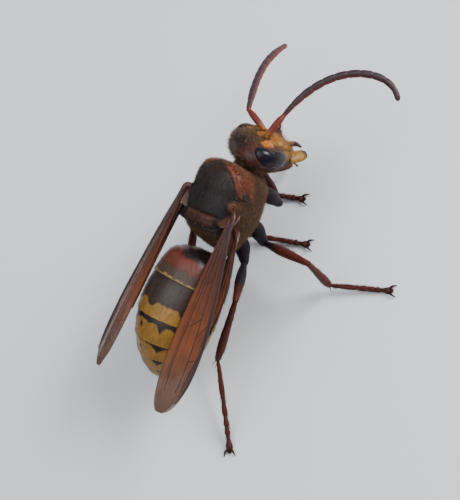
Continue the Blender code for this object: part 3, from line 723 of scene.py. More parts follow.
def thorax_relief(x, y, z, angle):
    """Height of the thorax's grooves, plates and tegulae over its plain form."""
    top = smooth(0.15, 0.55, np.sin(angle))
    side = 1.0 - smooth(0.35, 0.75, np.abs(np.sin(angle)))
    ahead = x - collar_edge(angle)
    height = -0.11 * hump(ahead, 0.0, 0.07) + 0.05 * hump(ahead, 0.22, 0.16)
    height += -0.05 * hump(y, 0.0, 0.07) * top * smooth(0.2, 0.8, x) * smooth(2.75, 2.4, x)
    height += -0.035 * hump(np.abs(y), 1.15, 0.06) * top * smooth(-0.4, -0.1, x) * smooth(1.4, 0.9, x)
    front, back = SCUTELLUM_X
    bow = 0.10 * y * y / 4.0
    shield = smooth(2.1, 1.7, np.abs(y)) * top
    height += -0.17 * hump(x, front - bow, 0.09) * shield
    inside = between(back, front, 0.40, x)
    height += 0.11 * inside * smooth(1.85, 1.20, np.abs(y)) * top
    height += -0.07 * hump(y, 0.0, 0.14) * inside * top
    height += -0.16 * hump(x, back + bow, 0.08) * shield
    height += 0.07 * between(METANOTUM_X, back, 0.2, x) * top
    height += -0.15 * hump(x, METANOTUM_X, 0.09) * smooth(0.0, 0.4, np.sin(angle))
    height += -0.14 * hump(y, 0.0, 0.22) * smooth(-2.4, -2.9, x) * top
    seam = -1.15 - 0.16 * (1.2 - z)
    height += -0.13 * hump(x, seam, 0.08) * smooth(1.5, 1.1, z) * smooth(-2.8, -2.2, z)
    seam = -2.20 - 0.22 * (1.4 - z)
    height += -0.10 * hump(x, seam, 0.08) * side
    seam = 0.25 + 0.25 * z
    height += -0.08 * hump(x, seam, 0.07) * smooth(-0.6, -0.1, z) * smooth(1.3, 0.9, z) * side
    height += 0.07 * hump(x, -0.2, 0.8) * hump(z, -0.6, 1.0)
    beside = np.abs(y) > 1.5
    height += 0.26 * smooth(0.62, 0.30, from_tegula(x, z)) * beside
    height += 0.10 * smooth(0.48, 0.22, from_lobe(x, z)) * beside
    return height


def thorax_paint(x, y, z, angle):
    """Black back, brown sides, a brown collar with brick patches, red scutellum and hind slope."""
    wide = np.abs(y)
    beside = wide > 1.5
    top = smooth(0.15, 0.5, np.sin(angle))
    ahead = x - collar_edge(angle)
    pronotum = smooth(-0.02, 0.08, ahead)
    patch = pronotum * smooth(-0.15, 0.25, z) * smooth(0.55, 0.95, wide) * smooth(0.06, 0.2, ahead)
    front, back = SCUTELLUM_X
    plate = smooth(back, back + 0.15, x) * smooth(front, front - 0.12, x) * top
    return layered(
        mix(PLEURA_BROWN, NEAR_BLACK, top),
        # The lighter brown over the front of the back is a painted sheen of the pile there.
        (DARK_BROWN, smooth(1.3, 2.4, x) * top * 0.7),
        (DARK_BROWN, pronotum),
        (BRICK, patch),
        (NEAR_BLACK, smooth(0.55, 0.30, from_lobe(x, z)) * beside),
        (SCUTELLUM_RED, plate * smooth(1.7, 1.45, wide)),
        (RED_DARK * 0.8, between(METANOTUM_X, back, 0.12, x) * top),
        (RED_DARK, smooth(METANOTUM_X, METANOTUM_X - 0.15, x)),
        (TEGULA_BROWN, smooth(0.58, 0.42, from_tegula(x, z)) * beside),
    )


def thorax_grid():
    """The thorax's skin, station by station and angle by angle."""
    rows, columns = THORAX_GRID
    x = np.linspace(THORAX_SECTIONS[0][0], THORAX_SECTIONS[-1][0], rows)
    sizes = profile(THORAX_SECTIONS, x).T[..., None]
    x, angle = np.meshgrid(x, ring_angles(columns), indexing="ij")
    y, z = section(angle, *sizes, THORAX_WIDEST, THORAX_SQUARENESS)
    lean = FRONT_LEAN * smooth(*FRONT_LEAN_X, x) * smooth(*FRONT_LEAN_Z, z)
    points = np.stack([x + lean, y, z], axis=-1)
    return raised(points, thorax_relief(x, y, z, angle), thorax_paint(x, y, z, angle))


def build_thorax():
    """The thorax's skin and the neck in front of it."""
    points, normals, paint = thorax_grid()
    pieces = Pieces(THORAX_FRAME)
    pieces.add(points, paint)
    neck = rod(line_through(NECK_LINE, 12), values_through(NECK_RADII, 12), 24)
    pieces.add(neck, NEAR_BLACK * 0.6)
    nodes = ("pronotum", "mesothorax", "propodeum")
    pieces.finish("thorax_skin", THORAX_SHELL, nodes)
    return points, normals, paint


# Head


def face_shield(y, z):
    """1 on the edge of the clypeus, less inside it: broad above, narrower at the lip."""
    wide = 1.34 - 0.34 * smooth(-1.2, -2.3, z)
    reach = (np.abs(y) / wide) ** 2.8 + (np.abs(z + 1.30) / 1.06) ** 2.8
    return reach ** (1.0 / 2.8)


def head_relief(x, y, z):
    """Height of the clypeus, the antennal sockets and the grooves of the face."""
    face = smooth(0.2, 0.7, x)
    shield = face_shield(y, z)
    height = face * (0.12 * smooth(1.0, 0.82, shield) - 0.07 * hump(shield, 1.03, 0.07))
    height += face * 0.10 * smooth(0.55, 0.25, np.abs(y)) * smooth(-0.5, -0.1, z) * smooth(0.9, 0.5, z)
    socket = np.hypot(np.abs(y) - ANTENNA_SOCKET[1], z - ANTENNA_SOCKET[2])
    height += face * (0.06 * hump(socket, 0.40, 0.07) - 0.14 * smooth(0.34, 0.20, socket))
    height += face * -0.05 * hump(y, 0.0, 0.05) * smooth(0.7, 0.9, z) * smooth(1.9, 1.7, z)
    ocelli = np.hypot(y / 0.72, (x - 0.35) / 0.62)
    height += 0.05 * smooth(1.1, 0.7, ocelli) * smooth(1.6, 2.0, z)
    return height


def head_paint(x, y, z):
    """The head's colours: red crown and cheeks, dark brow, yellow face."""
    wide = np.abs(y)
    face = smooth(0.75, 1.05, x)
    brow = smooth(1.35, 1.0, wide) * smooth(0.55, 0.85, z) * smooth(-0.1, 0.25, x)
    ocelli = np.hypot(y / 0.85, (x - 0.40) / 0.75)
    shield_top = smooth(0.46, 0.34, wide) * smooth(1.10, 0.92, z)
    ragged = 0.05 * np.sin(9.0 * z + 5.0 * wide)
    across = np.hypot(1.15 * (wide - SINUS[1]), 0.9 * (z - SINUS[2]))
    sinus = np.hypot(x - SINUS[0], across)
    socket = np.hypot(wide - ANTENNA_SOCKET[1], z - ANTENNA_SOCKET[2])
    return layered(
        mix(VERTEX_RED, RED_DARK, smooth(-0.2, -0.9, x)),
        (DARK_BROWN, brow),
        (NEAR_BLACK, smooth(1.15, 0.8, ocelli) * smooth(1.5, 1.8, z)),
        (FACE_YELLOW, face * smooth(1.55, 1.25, wide) * smooth(0.75, 0.5, z)),
        (YELLOW, face * smooth(-0.9, -1.2, z)),
        (DARK_BROWN, face * smooth(0.45, 0.75, z) * smooth(1.15, 0.9, wide)),
        (FACE_YELLOW, face * shield_top),
        (ORANGE, smooth(0.60, 0.38, sinus + ragged)),
        (DARK_BROWN, face * hump(socket, 0.30, 0.12)),
        (DARK_BROWN, face * 0.7 * hump(face_shield(y, z), 1.05, 0.05)),
    )


def head_grid():
    rows, columns = HEAD_GRID
    low = HEAD_SECTIONS[0][0]
    high = HEAD_SECTIONS[-1][0]
    z = low + (high - low) * (0.5 - 0.5 * np.cos(np.pi * shares(rows)))
    sizes = profile(HEAD_SECTIONS, z).T[..., None]
    z, angle = np.meshgrid(z, ring_angles(columns), indexing="ij")
    y, x = section(angle, *sizes, 0.5, HEAD_SQUARENESS)
    points = np.stack([x, y, z], axis=-1)
    return raised(points, head_relief(x, y, z), head_paint(x, y, z))


def build_head():
    points, normals, paint = head_grid()
    pieces = Pieces(HEAD_FRAME)
    pieces.add(points, paint)
    pieces.finish("head_skin", HEAD_SHELL, ("head",))
    lenses = Pieces(HEAD_FRAME)
    for place in OCELLI:
        lenses.add(ball_rings(place, OCELLUS_RADIUS), OCELLUS_BROWN)
    lenses.finish("ocelli", OCELLUS_SHELL)
    for name, side in SIDES:
        build_eye(name, side)
        build_mandible(name, side)
    build_mouth()
    return points, normals, paint


def build_eye(name, side):
    """A notched lens, rounded off at both ends, and greyer below with a painted reflection of the pale
    floor.
    """
    count = 44
    line = line_through(mirrored(EYE_LINE, side), count)
    share = shares(count)
    round_off = np.sqrt(np.clip(1.0 - (2.0 * share - 1.0) ** 8, 0.0, 1.0))
    round_off = np.maximum(round_off, 0.25)
    wide = (values_through(EYE_HALF_WIDTHS, count) + EYE_GROW) * round_off
    deep = (values_through(EYE_HALF_DEPTHS, count) + EYE_GROW) * round_off
    pieces = Pieces(HEAD_FRAME)
    rings = tube(line, wide, deep, line * EYE_OUTWARD, 40)
    # The lower part is painted grey as a reflection of the pale floor on the dark lens.
    pieces.add(rings, mix(EYE_DARK, EYE_FLOOR_REFLECTION, smooth(0.45, 0.9, share)))
    pieces.finish(f"eye_lens_{name}", EYE_SHELL, (f"eye_{name}",))


def build_mandible(name, side):
    """A broad jaw that narrows to a dark toothed edge."""
    count = 30
    line = line_through(mirrored(MANDIBLE_LINE, side), count)
    share = shares(count)
    teeth = 0.16 * np.maximum(np.sin(share * 22.0), 0.0) * smooth(0.5, 0.7, share)
    wide = values_through(MANDIBLE_HALF_WIDTHS, count) * (1.0 + teeth)
    deep = values_through(MANDIBLE_HALF_DEPTHS, count)
    outward = np.stack([np.ones(count), 0.35 * line[:, 1], np.zeros(count)], axis=1)
    rings = tube(line, wide, deep, outward, 28)
    inward = (line[:, None, 1] - rings[..., 1]) * side
    dark = np.maximum(smooth(0.38, 0.60, share)[:, None], smooth(0.22, 0.42, inward))
    pieces = Pieces(HEAD_FRAME)
    pieces.add(rings, mix(YELLOW, MANDIBLE_DARK, dark))
    pieces.finish(f"jaw_{name}", MANDIBLE_SHELL, (f"mandible_{name}",))


def build_mouth():
    """The lip under the face shield and the four thin palps behind the jaws."""
    pieces = Pieces(HEAD_FRAME)
    wide, deep = (values_through(sizes, 16) for sizes in LIP_SIZES)
    pieces.add(tube(line_through(LIP_LINE, 16), wide, deep, FORWARD, 14), TIP_ORANGE)
    radii = PALP_RADIUS * (1.0 + 0.22 * np.sin(5.0 * np.pi * shares(18)) ** 2)
    for side in (1, -1):
        for start, end in PALPS:
            middle = 0.5 * np.add(start, end) + PALP_BOW * FORWARD
            line = line_through(mirrored((start, middle, end), side), 18)
            pieces.add(rod(line, radii, 10, FORWARD), TIP_ORANGE)
    pieces.finish("mouthparts", MANDIBLE_SHELL)


# Gaster


def gaster_line(distance):
    """The gaster's middle line at these distances, and its slope there, in the waist's frame."""
    length = GASTER_SECTIONS[-1][0]
    start = math.radians(GASTER_LIFT)
    rate = math.radians(GASTER_DROOP) / length
    angle = start - rate * distance
    x = -(math.sin(start) - np.sin(angle)) / rate
    z = (np.cos(angle) - math.cos(start)) / rate
    z = z + WAIST_RISE * smooth(0.0, WAIST_RISE_LENGTH, distance)
    return np.stack([x, np.zeros_like(x), z], axis=-1), angle


def gaster_relief(distance, from_back):
    """Rims and overlaps of the plates. from_back is the angle from the middle of the back."""
    height = np.zeros_like(distance)
    for joint in GASTER_JOINTS[1:-1]:
        past = distance - joint
        rim = np.where(past <= 0.0, 0.05 * np.exp(past / 0.30), -0.10 * np.exp(-past / 0.45))
        height += rim
    height += -0.08 * hump(from_back, 112.0, 2.2) * smooth(0.8, 1.4, distance)
    height += 0.04 * smooth(113.0, 106.0, from_back) * smooth(0.8, 1.4, distance)
    return height


def spot(distance, from_back, at, width, reach, angle):
    """A small rounded mark on a plate, 1 inside it."""
    return smooth(1.25, 0.75, np.hypot((distance - at) / reach, (from_back - angle) / width))


def front_bands(d, distance, from_back, side):
    """The first two plates: red with a black patch and a pale line, then dark with a toothed edge."""
    joint = GASTER_JOINTS[1]
    patch = np.hypot((d - 0.88) / 0.46, side / 1.35)
    line = smooth(joint - 0.17, joint - 0.12, d) * (distance <= joint)
    second = distance > joint
    edge = 5.02 + 0.34 * hump(from_back, 26.0, 9.0) + 0.30 * hump(from_back, 64.0, 11.0)
    return layered(
        CHESTNUT,
        (RED_DARK, smooth(0.5, 0.2, d)),
        (BAND_RED, smooth(1.25, 1.6, d) * smooth(2.5, 2.0, d)),
        (GREY_BROWN, smooth(2.1, 2.5, d)),
        (NEAR_BLACK, smooth(1.15, 0.85, patch) * (from_back < 80.0)),
        (PALE_YELLOW, line * smooth(95.0, 75.0, from_back) * 0.85),
        (DARK_BROWN, second * 1.0),
        (YELLOW, second * smooth(edge - 0.08, edge + 0.08, d)),
    )


def hind_bands(colour, d, distance, from_back):
    """Yellow plates, each with a dark front edge, a point on its middle and spots beside it."""
    for k in range(2, 6):
        start = GASTER_JOINTS[k]
        length = GASTER_JOINTS[k + 1] - start
        base = start + length * (0.20 if k == 2 else 0.10)
        here = (distance > start) * 1.0
        dark = smooth(base + 0.05, base - 0.05, d) * here
        point = 12.0 * np.clip(1.0 - (d - start) / (0.55 * length), 0.0, 1.0)
        dark = np.maximum(dark, here * smooth(1.5, -1.5, from_back - point) * (point > 0.0))
        for at, width, reach, from_middle in GASTER_SPOTS:
            mark = spot(d, from_back, start + at * length, width, reach * length, from_middle)
            dark = np.maximum(dark, here * mark)
        colour = layered(colour, (YELLOW, here), (NEAR_BLACK, dark))
    return colour


def gaster_paint(distance, from_back, side):
    """The gaster's bands, its orange tip and its belly, with wavy edges."""
    joints = GASTER_JOINTS
    wobble = 0.06 * np.sin(from_back * 0.21 + distance) + 0.04 * np.sin(from_back * 0.53)
    d = distance + wobble
    colour = hind_bands(front_bands(d, distance, from_back, side), d, distance, from_back)
    tip = mix(YELLOW, TIP_ORANGE, smooth(10.8, 11.3, d))
    colour = mix(colour, tip, (distance > joints[6]) * 1.0)
    under = smooth(108.0, 116.0, from_back)
    for start, end in zip(joints[1:6], joints[2:7]):
        belly = mix(DARK_BROWN, YELLOW * 0.9, smooth(start + 0.1, start + 0.6, distance))
        inside = (distance > start) & (distance <= end)
        colour = np.where((inside & (under > 0.5))[..., None], belly, colour)
    return colour


def gaster_grid():
    rows, columns = GASTER_GRID
    distance = np.linspace(0.0, GASTER_SECTIONS[-1][0], rows)
    half_width, half_height = profile(GASTER_SECTIONS, distance).T[..., None]
    line, slope = gaster_line(distance)
    twist = math.radians(GASTER_TWIST)
    level = np.array((0.0, 1.0, 0.0))
    upright = np.stack([np.sin(slope), np.zeros_like(slope), np.cos(slope)], axis=-1)
    across = level * math.cos(twist) + upright * math.sin(twist)
    up = upright * math.cos(twist) - level * math.sin(twist)
    distance, angle = np.meshgrid(distance, ring_angles(columns), indexing="ij")
    below = -GASTER_BELLY * half_height
    y, z = section(angle, half_width, half_height, below, GASTER_WIDEST, GASTER_SQUARENESS)
    points = line[:, None, :] + across[:, None, :] * y[..., None] + up[:, None, :] * z[..., None]
    from_back = np.degrees(np.abs(np.arctan2(np.cos(angle), np.sin(angle))))
    paint = gaster_paint(distance, from_back, y)
    return raised(points, gaster_relief(distance, from_back), paint)


def build_gaster():
    points, normals, paint = gaster_grid()
    pieces = Pieces(GASTER_FRAME)
    pieces.add(points, paint)
    nodes = [f"gaster_{k}" for k in range(1, 8)]
    pieces.finish("gaster_skin", GASTER_SHELL, nodes)
    return points, normals, paint


# Antennae


def flagellum(elbow, ways):
    """The whip of swelling segments from the elbow, as rings and their paint."""
    steps = FLAGELLUM_SEGMENTS * 12
    turns = np.column_stack([np.arange(len(ways)), ways])
    places = (len(ways) - 1) * (np.arange(steps) + 0.5) / steps
    step = unit(profile(turns, places)) * (FLAGELLUM_LENGTH / steps)
    line = np.concatenate([elbow[None, :], elbow + np.cumsum(step, axis=0)])
    share = shares(steps + 1)
    swell = 1.0 - 0.16 * np.abs(2.0 * ((share * FLAGELLUM_SEGMENTS) % 1.0) - 1.0) ** 5
    radii = FLAGELLUM_RADIUS * swell
    radii = radii * (0.66 + 0.34 * smooth(0.0, 0.22, share) - 0.28 * smooth(0.7, 1.0, share))
    radii[-3:] = radii[-3:] * FLAGELLUM_TIP
    rings = rod(line, radii, 20)
    # The side facing up is painted with a dark bluish sheen over the red-brown.
    over = smooth(-0.1, 0.9, unit(rings - line[:, None, :])[..., 2])
    return rings, mix(ANTENNA_RED, ANTENNA_SHEEN, over)


def build_antenna(name, side):
    """A scape with a bead at its root, a knuckle and the whip."""
    ways = np.array(ANTENNA_WAYS[name])
    socket = to_model(HEAD_FRAME, mirrored(ANTENNA_SOCKET, side))
    first = unit(ways[0])
    root = socket - first * SCAPE_SINK
    elbow = socket + first * SCAPE_LENGTH
    middle = 0.5 * (root + elbow) + UP * 0.06
    scape = line_through((root, middle, elbow - first * 0.12), 26)
    paint = mix(ORANGE * 0.5, ANTENNA_RED, smooth(0.0, 0.4, shares(26)))
    knuckle = line_through((elbow - first * 0.20, elbow, elbow + unit(ways[1]) * 0.16), 8)
    pieces = Pieces(MODEL_FRAME)
    pieces.add(ball_rings(socket, SOCKET_RADIUS, 18), ANTENNA_RED)
    pieces.add(rod(scape, values_through(SCAPE_RADII, 26), 20), paint)
    pieces.add(rod(knuckle, KNUCKLE_RADIUS, 18), ANTENNA_RED)
    pieces.add(*flagellum(elbow, ways[1:]))
    nodes = [f"scape_{name}"] + [f"flagellum_{name}_{k}" for k in (1, 2, 3)]
    pieces.finish(f"antenna_{name}", ANTENNA_SHELL, nodes)


# Legs


def upright_to(way):
    level = np.array((-way[1], way[0], 0.0))
    if np.linalg.norm(level) < 0.05:
        level = np.array((0.0, 1.0, 0.0))
    return -np.cross(way, unit(level))


def joint(start, end, near, far, bend):
    """Where a joint sits, near from the start and far from the end, bent this way."""
    across = end - start
    span = min(np.linalg.norm(across), (near + far) * 0.999)
    way = unit(across)
    along = (near * near - far * far + span * span) / (2.0 * span)
    out = unit(bend - way * np.dot(bend, way))
    return start + way * along + out * math.sqrt(max(near * near - along * along, 0.0))


def leg_line(name):
    """The leg's joints on the model: coxa root, coxa end, knee, ankle and toe."""
    pair, side_name = name.split("_")
    side = 1 if side_name == "left" else -1
    sizes = LEG_SIZES[pair]
    pose = LEG_POSES[name]
    femur, tibia, tarsus = sizes["lengths"]
    first = mirrored(sizes["root"], side)
    end_local = first + unit(mirrored(sizes["way"], side)) * COXA_LENGTH
    root = to_model(THORAX_FRAME, first)
    end = to_model(THORAX_FRAME, end_local)
    toe = np.array((*pose["toe"], TOE_HEIGHT))
    drop = pose["ankle"] - TOE_HEIGHT
    reach = math.sqrt(tarsus**2 - drop**2)
    ankle = toe - heading(pose["tarsus"], 0.0) * reach + np.array((0.0, 0.0, drop))
    knee = joint(end, ankle, femur, tibia, heading(*pose["bend"]))
    return root, end, knee, ankle, toe


def limb_rings(start, end, radii, count, sides, flat=1.0):
    line = start + (end - start) * shares(count)[:, None]
    sizes = values_through(radii, count)
    return tube(line, sizes * flat, sizes, upright_to(unit(end - start)), sides)


def cone_rings(start, end, radius, count=6, sides=8):
    """A thin spine from start to end."""
    share = shares(count)
    line = start + (end - start) * share[:, None]
    return rod(line, radius * (1.0 - 0.85 * share), sides, upright_to(unit(end - start)))


def add_spurs(pieces, knee, ankle, sides):
    shin = unit(ankle - knee)
    out = upright_to(shin)
    for side in sides:
        way = unit(shin * 0.9 - out * 0.35 + np.cross(shin, out) * 0.3 * side)
        pieces.add(cone_rings(ankle - shin * 0.15, ankle + way * SPUR_LENGTH, SPUR_RADIUS), LEG_TIP)


def add_foot(pieces, ankle, toe):
    """The foot's joints, with two spines at the end of each but the last."""
    way = unit(toe - ankle)
    aside = unit(np.array((-way[1], way[0], 0.0)))
    length = np.linalg.norm(toe - ankle)
    last = len(TARSUS_JOINTS) - 2
    for k, (start, stop) in enumerate(zip(TARSUS_JOINTS, TARSUS_JOINTS[1:])):
        near = ankle + way * start * length
        far = ankle + way * (stop * length + (TARSUS_OVERLAP if k < last else 0.0))
        radii = TARSUS_RADIUS * np.array(TARSUS_TOE_SHAPE if k == last else TARSUS_SHAPE)
        radii = radii * (0.95 if k == 0 else 1.0)
        pieces.add(limb_rings(near, far, radii, 16, 16), mix(LEG_RED, LEG_TIP, k / last))
        if k < last:
            for side in (1, -1):
                tip = far + aside * side * 0.34 + way * 0.22
                spine = cone_rings(far - way * 0.08, tip, TARSUS_SPINE_RADIUS, 5, 6)
                pieces.add(spine, LEG_TIP)


def add_claws(pieces, ankle, toe):
    """Two hooked claws and the soft pad between them."""
    level = unit((toe - ankle) * (1.0, 1.0, 0.0))
    aside = np.array((-level[1], level[0], 0.0))
    base = np.array((toe[0], toe[1], TOE_HEIGHT + 0.05)) - level * 0.2
    for side in (1, -1):
        hook = [
            base + (level * ahead + aside * side * apart) * CLAW_LENGTH + UP * rise
            for ahead, apart, rise in CLAW_HOOK
        ]
        pieces.add(rod(line_through(hook, 14), values_through(CLAW_RADII, 14), 12), RED_DARK)
    pieces.add(ball_rings(base + level * 0.34, PAD_RADIUS, 14, 8, 0.6), DARK_BROWN)


def build_leg(name):
    pair = name.split("_")[0]
    root, end, knee, ankle, toe = leg_line(name)
    pieces = Pieces(MODEL_FRAME)
    inner = root - unit(end - root) * COXA_SINK
    pieces.add(limb_rings(inner, end, COXA_RADII, 22, 24), LEG_BLACK)
    pieces.add(ball_rings(end, TROCHANTER_RADIUS, 18, 12), LEG_BLACK)
    dark_until = FEMUR_DARK_UNTIL[pair]
    paint = mix(LEG_BLACK, LEG_RED, smooth(dark_until - 0.2, dark_until + 0.15, shares(40)))
    hip = end + unit(knee - end) * 0.08
    pieces.add(limb_rings(hip, knee, FEMUR_RADII, 40, 24, LIMB_FLAT), paint)
    pieces.add(ball_rings(knee, KNEE_RADIUS), LEG_RED * 0.8)
    pieces.add(limb_rings(knee, ankle, TIBIA_RADII, 40, 24, LIMB_FLAT), LEG_RED)
    add_spurs(pieces, knee, ankle, (1,) if pair == "front" else (1, -1))
    add_foot(pieces, ankle, toe)
    add_claws(pieces, ankle, toe)
    nodes = [f"{piece}_{name}" for piece in ("coxa", "femur", "tibia", "tarsus")]
    pieces.finish(f"leg_{name}", LEG_SHELL, nodes)
    return end, knee, ankle, toe


# Wings


def wing_pose(name, side):
    """The side, the wing's direction, the way out, the way square to both, and the hinge's shift."""
    slope = math.radians(WING_SLOPE)
    ahead = mirrored(heading(*WING_WAYS[name]), side)
    out = mirrored((0.0, math.cos(slope), -math.sin(slope)), side)
    out = unit(out - ahead * np.dot(out, ahead))
    normal = mirrored((0.0, math.sin(slope), math.cos(slope)), side)
    normal = unit(normal - ahead * np.dot(normal, ahead) - out * np.dot(normal, out))
    return side, ahead, out, normal, np.array((WING_DRAWN[name], 0.0, 0.0))


def wing_point(wing, pose, along, across, layer):
    """Places on the folded wing: across runs from the inner fold 0 to the outer edge 1."""
    side, ahead, out, normal, drawn = pose
    along = np.asarray(along)
    across = np.asarray(across)
    root = mirrored(wing["root"], side) + drawn
    width = profile(wing["edge"], along)[..., 0]
    lift = 0.10 * np.sin(np.pi * across) * smooth(0.0, 0.2, along)
    lift = lift + 0.035 * np.sin(across * 9.0 * np.pi) * smooth(0.05, 0.3, along)
    start = root + ahead * (wing["length"] * along)[..., None]
    start = start + out * (width * (across - wing["inner"]))[..., None]
    return start + normal * (lift + layer)[..., None]


def wing_sheet(wing, pose):
    """Two thin layers joined at the inner fold, as closed rings, with each point's place."""
    rows, columns = wing["grid"]
    top, bottom = wing["layers"]
    back = np.linspace(0.0, wing["folded"], columns)[1:]
    across = np.concatenate([shares(columns)[::-1], back])
    layer = np.concatenate([np.full(columns, top), np.full(columns - 1, bottom)])
    along, across = np.meshgrid(shares(rows), across, indexing="ij")
    layer = layer * smooth(1.0, 0.9, along) * smooth(-0.05, 0.08, along)
    layer = np.where(across < 0.03, 0.5 * layer, layer)
    points = wing_point(wing, pose, along, across, layer)
    over = np.concatenate([np.ones(columns), -np.ones(columns - 1)])
    lift = pose[3] * (WING_HALF_THICKNESS * over)[:, None]
    pairs = ((points + lift, points - lift), (along, along), (across, across))
    return [np.concatenate([first, second[:, ::-1]], axis=1) for first, second in pairs]


def wing_paint(along, across):
    """Dark front edge, amber cells and a browner tip, with how dense each is as a fourth value."""
    edge = smooth(0.80, 0.93, across) * smooth(0.98, 0.80, along)
    root = smooth(0.66, 0.15, along) * 0.78
    tip = smooth(0.62, 0.86, along)
    colour = layered(AMBER, (WING_TIP, tip), (WING_DARK, edge), (WING_DARK, root))
    dense = 0.56 + 0.40 * edge + 0.22 * smooth(0.55, 0.10, along)
    return np.concatenate([colour, np.clip(dense, 0.0, 0.95)[..., None]], axis=-1)


def add_vein(pieces, wing, pose, line, radius):
    """A raised vein through (along, across) places on the upper layer."""
    line = line_through(line, 40)
    normal = pose[3]
    points = wing_point(wing, pose, line[:, 0], line[:, 1], wing["layers"][0]) + normal * 0.02
    pieces.add(rod(points, radius * (1.0 - 0.45 * shares(40)), 8, normal), WING_DARK)


def add_wing_joint(pieces, wing, pose):
    """The hinge from the body to the wing's front edge, and the soft skin behind it."""
    side = pose[0]
    reach, radius = wing["hinge"]
    hinge = wing_point(wing, pose, (0.0, reach), (0.65, 0.75), 0.0)
    line = line_through((mirrored(wing["shoulder"], side), *hinge), 16)
    wide = values_through((radius, radius * 1.1, radius * 0.35), 16)
    pieces.add(tube(line, wide, wide * 0.55, UP, 18), HINGE_BROWN)
    inner = wing_point(wing, pose, 0.5 * reach, 0.3, 0.0)
    line = line_through((mirrored(wing["joint"], side), inner), 14)
    spread = values_through(WING_JOINT_WIDTHS, 14) * radius
    pieces.add(tube(line, spread, np.linspace(0.14, 0.05, 14), pose[3], 20), HINGE_BROWN)


def build_wings(name, side):
    pose = wing_pose(name, side)
    veins = Pieces(THORAX_FRAME)
    for wing in (FOREWING, HINDWING):
        kind = wing["name"]
        ring, along, across = wing_sheet(wing, pose)
        membrane = Pieces(THORAX_FRAME)
        membrane.add(ring, wing_paint(along, across))
        membrane.finish(f"{kind}_membrane_{name}", MEMBRANE, (f"{kind}_{name}",))
        for line, radius in wing["veins"]:
            add_vein(veins, wing, pose, line, radius)
    for wing in (FOREWING, HINDWING):
        add_wing_joint(veins, wing, pose)
    veins.finish(f"wing_veins_{name}", VEIN_SHELL)


# Pile


def hair_points(roots, ways, lean, lengths, width):
    """Seven points for each hair, in metres: three under the skin, three halfway and the tip."""
    aside = unit(np.cross(ways, HAIR_CROSS))
    other = np.cross(ways, aside)
    base = roots - ways * (HAIR_SINK * MM)
    middle = roots + ways * (lengths * 0.5) + lean * (lengths * 0.12)
    points = np.empty((len(roots), 7, 3))
    for k, angle in enumerate(ring_angles(3)):
        offset = aside * math.cos(angle) + other * math.sin(angle)
        points[:, k] = base + offset * (width * MM)
        points[:, 3 + k] = middle + offset * (width * MM) * 0.7
    points[:, 6] = roots + ways * (lengths * 0.92) + lean * (lengths * 0.45)
    return points


def hair_unwrap(obj, places):
    """Gives each hair a small patch of the bake map, at its root's place on the skin's unwrap."""
    corners = np.empty(len(obj.data.loops), dtype=np.int32)
    obj.data.loops.foreach_get("vertex_index", corners)
    places = places[:, None, :] * (1.0 - BAKE_PATCH) + 0.5 * BAKE_PATCH
    uv = np.clip(places, 0.0, 1.0) + (HAIR_PATCH - 0.5) * BAKE_PATCH
    layer = obj.data.uv_layers.new(name=BAKE_MAP)
    layer.data.foreach_set("uv", uv.reshape(-1, 2)[corners].ravel())


def hairs(name, local_frame, roots, ways, lean, lengths, width, colours, places):
    """Thin bent cones from these roots. places are the roots on the skin's own unwrap."""
    turned = np.array(local_frame)[:3, :3].T
    roots = placed(local_frame, roots)
    lengths = (lengths * MM)[:, None]
    points = hair_points(roots, unit(ways @ turned), lean @ turned, lengths, width)
    faces = [[7 * k + v for v in face] for k in range(len(roots)) for face in HAIR_FACES]
    paint = colours[:, None, :] * HAIR_SHADE[None, :, None]
    obj = mesh_object(name, points.reshape(-1, 3), faces, paint.reshape(-1, 3), HAIR)
    hair_unwrap(obj, places)
    finish_piece(obj)


def scatter(points, normals, paint, count, rng, weight):
    """Random places on a skin, by area and weight: points, normals, colours, unwrap places."""
    rows, columns = points.shape[:2]
    along = points[1:] - points[:-1]
    across = np.roll(points, -1, 1)[:-1] - points[:-1]
    area = np.linalg.norm(np.cross(along, across), axis=-1)
    if weight is not None:
        area = area * weight[:-1]
    cells = rng.choice(area.size, size=count, p=(area / area.sum()).ravel())
    r, c = np.divmod(cells, columns)
    d = (c + 1) % columns
    u = rng.random(count)
    v = rng.random(count)

    def blend(field):
        low = field[r, c] * (1.0 - v)[:, None] + field[r, d] * v[:, None]
        high = field[r + 1, c] * (1.0 - v)[:, None] + field[r + 1, d] * v[:, None]
        return low * (1.0 - u)[:, None] + high * u[:, None]

    places = np.stack([(c + v) / columns, (r + u) / (rows - 1)], axis=-1)
    return blend(points), unit(blend(normals)), blend(paint), places


def lay_pile(name, skin, count, seed, weight, lie, stand, length, width, hair_colour):
    """Pile over a skin: lie is the way it lies, stand how far it stands up, length its range."""
    local_frame, grid, slot_name = skin
    rng = np.random.default_rng(seed)
    roots, out, under, places = scatter(*grid, count, rng, weight)
    flat = lie - out * np.sum(out * lie, axis=1, keepdims=True)
    jitter = rng.normal(0.0, 0.28, roots.shape)
    ways = unit(out * stand + flat * (1.0 - stand) + jitter)
    lengths = rng.uniform(*length, count)
    tone = rng.uniform(0.0, 1.0, count)
    colour = mix(hair_colour(out), under * 1.6, tone * 0.45)
    lean = unit(flat + 1e-6)
    hairs(name, local_frame, roots, ways, lean, lengths, width, colour, places)


def side_hair(out):
    return mix(DARK_HAIR, BROWN_HAIR * 1.3, smooth(0.9, -0.1, out[:, 2]))


def head_hair(out):
    return mix(DARK_HAIR, GOLD_HAIR * 0.6, smooth(0.3, 0.95, out[:, 0]))


def plain_hair(colour):
    return lambda out: np.broadcast_to(colour, out.shape)


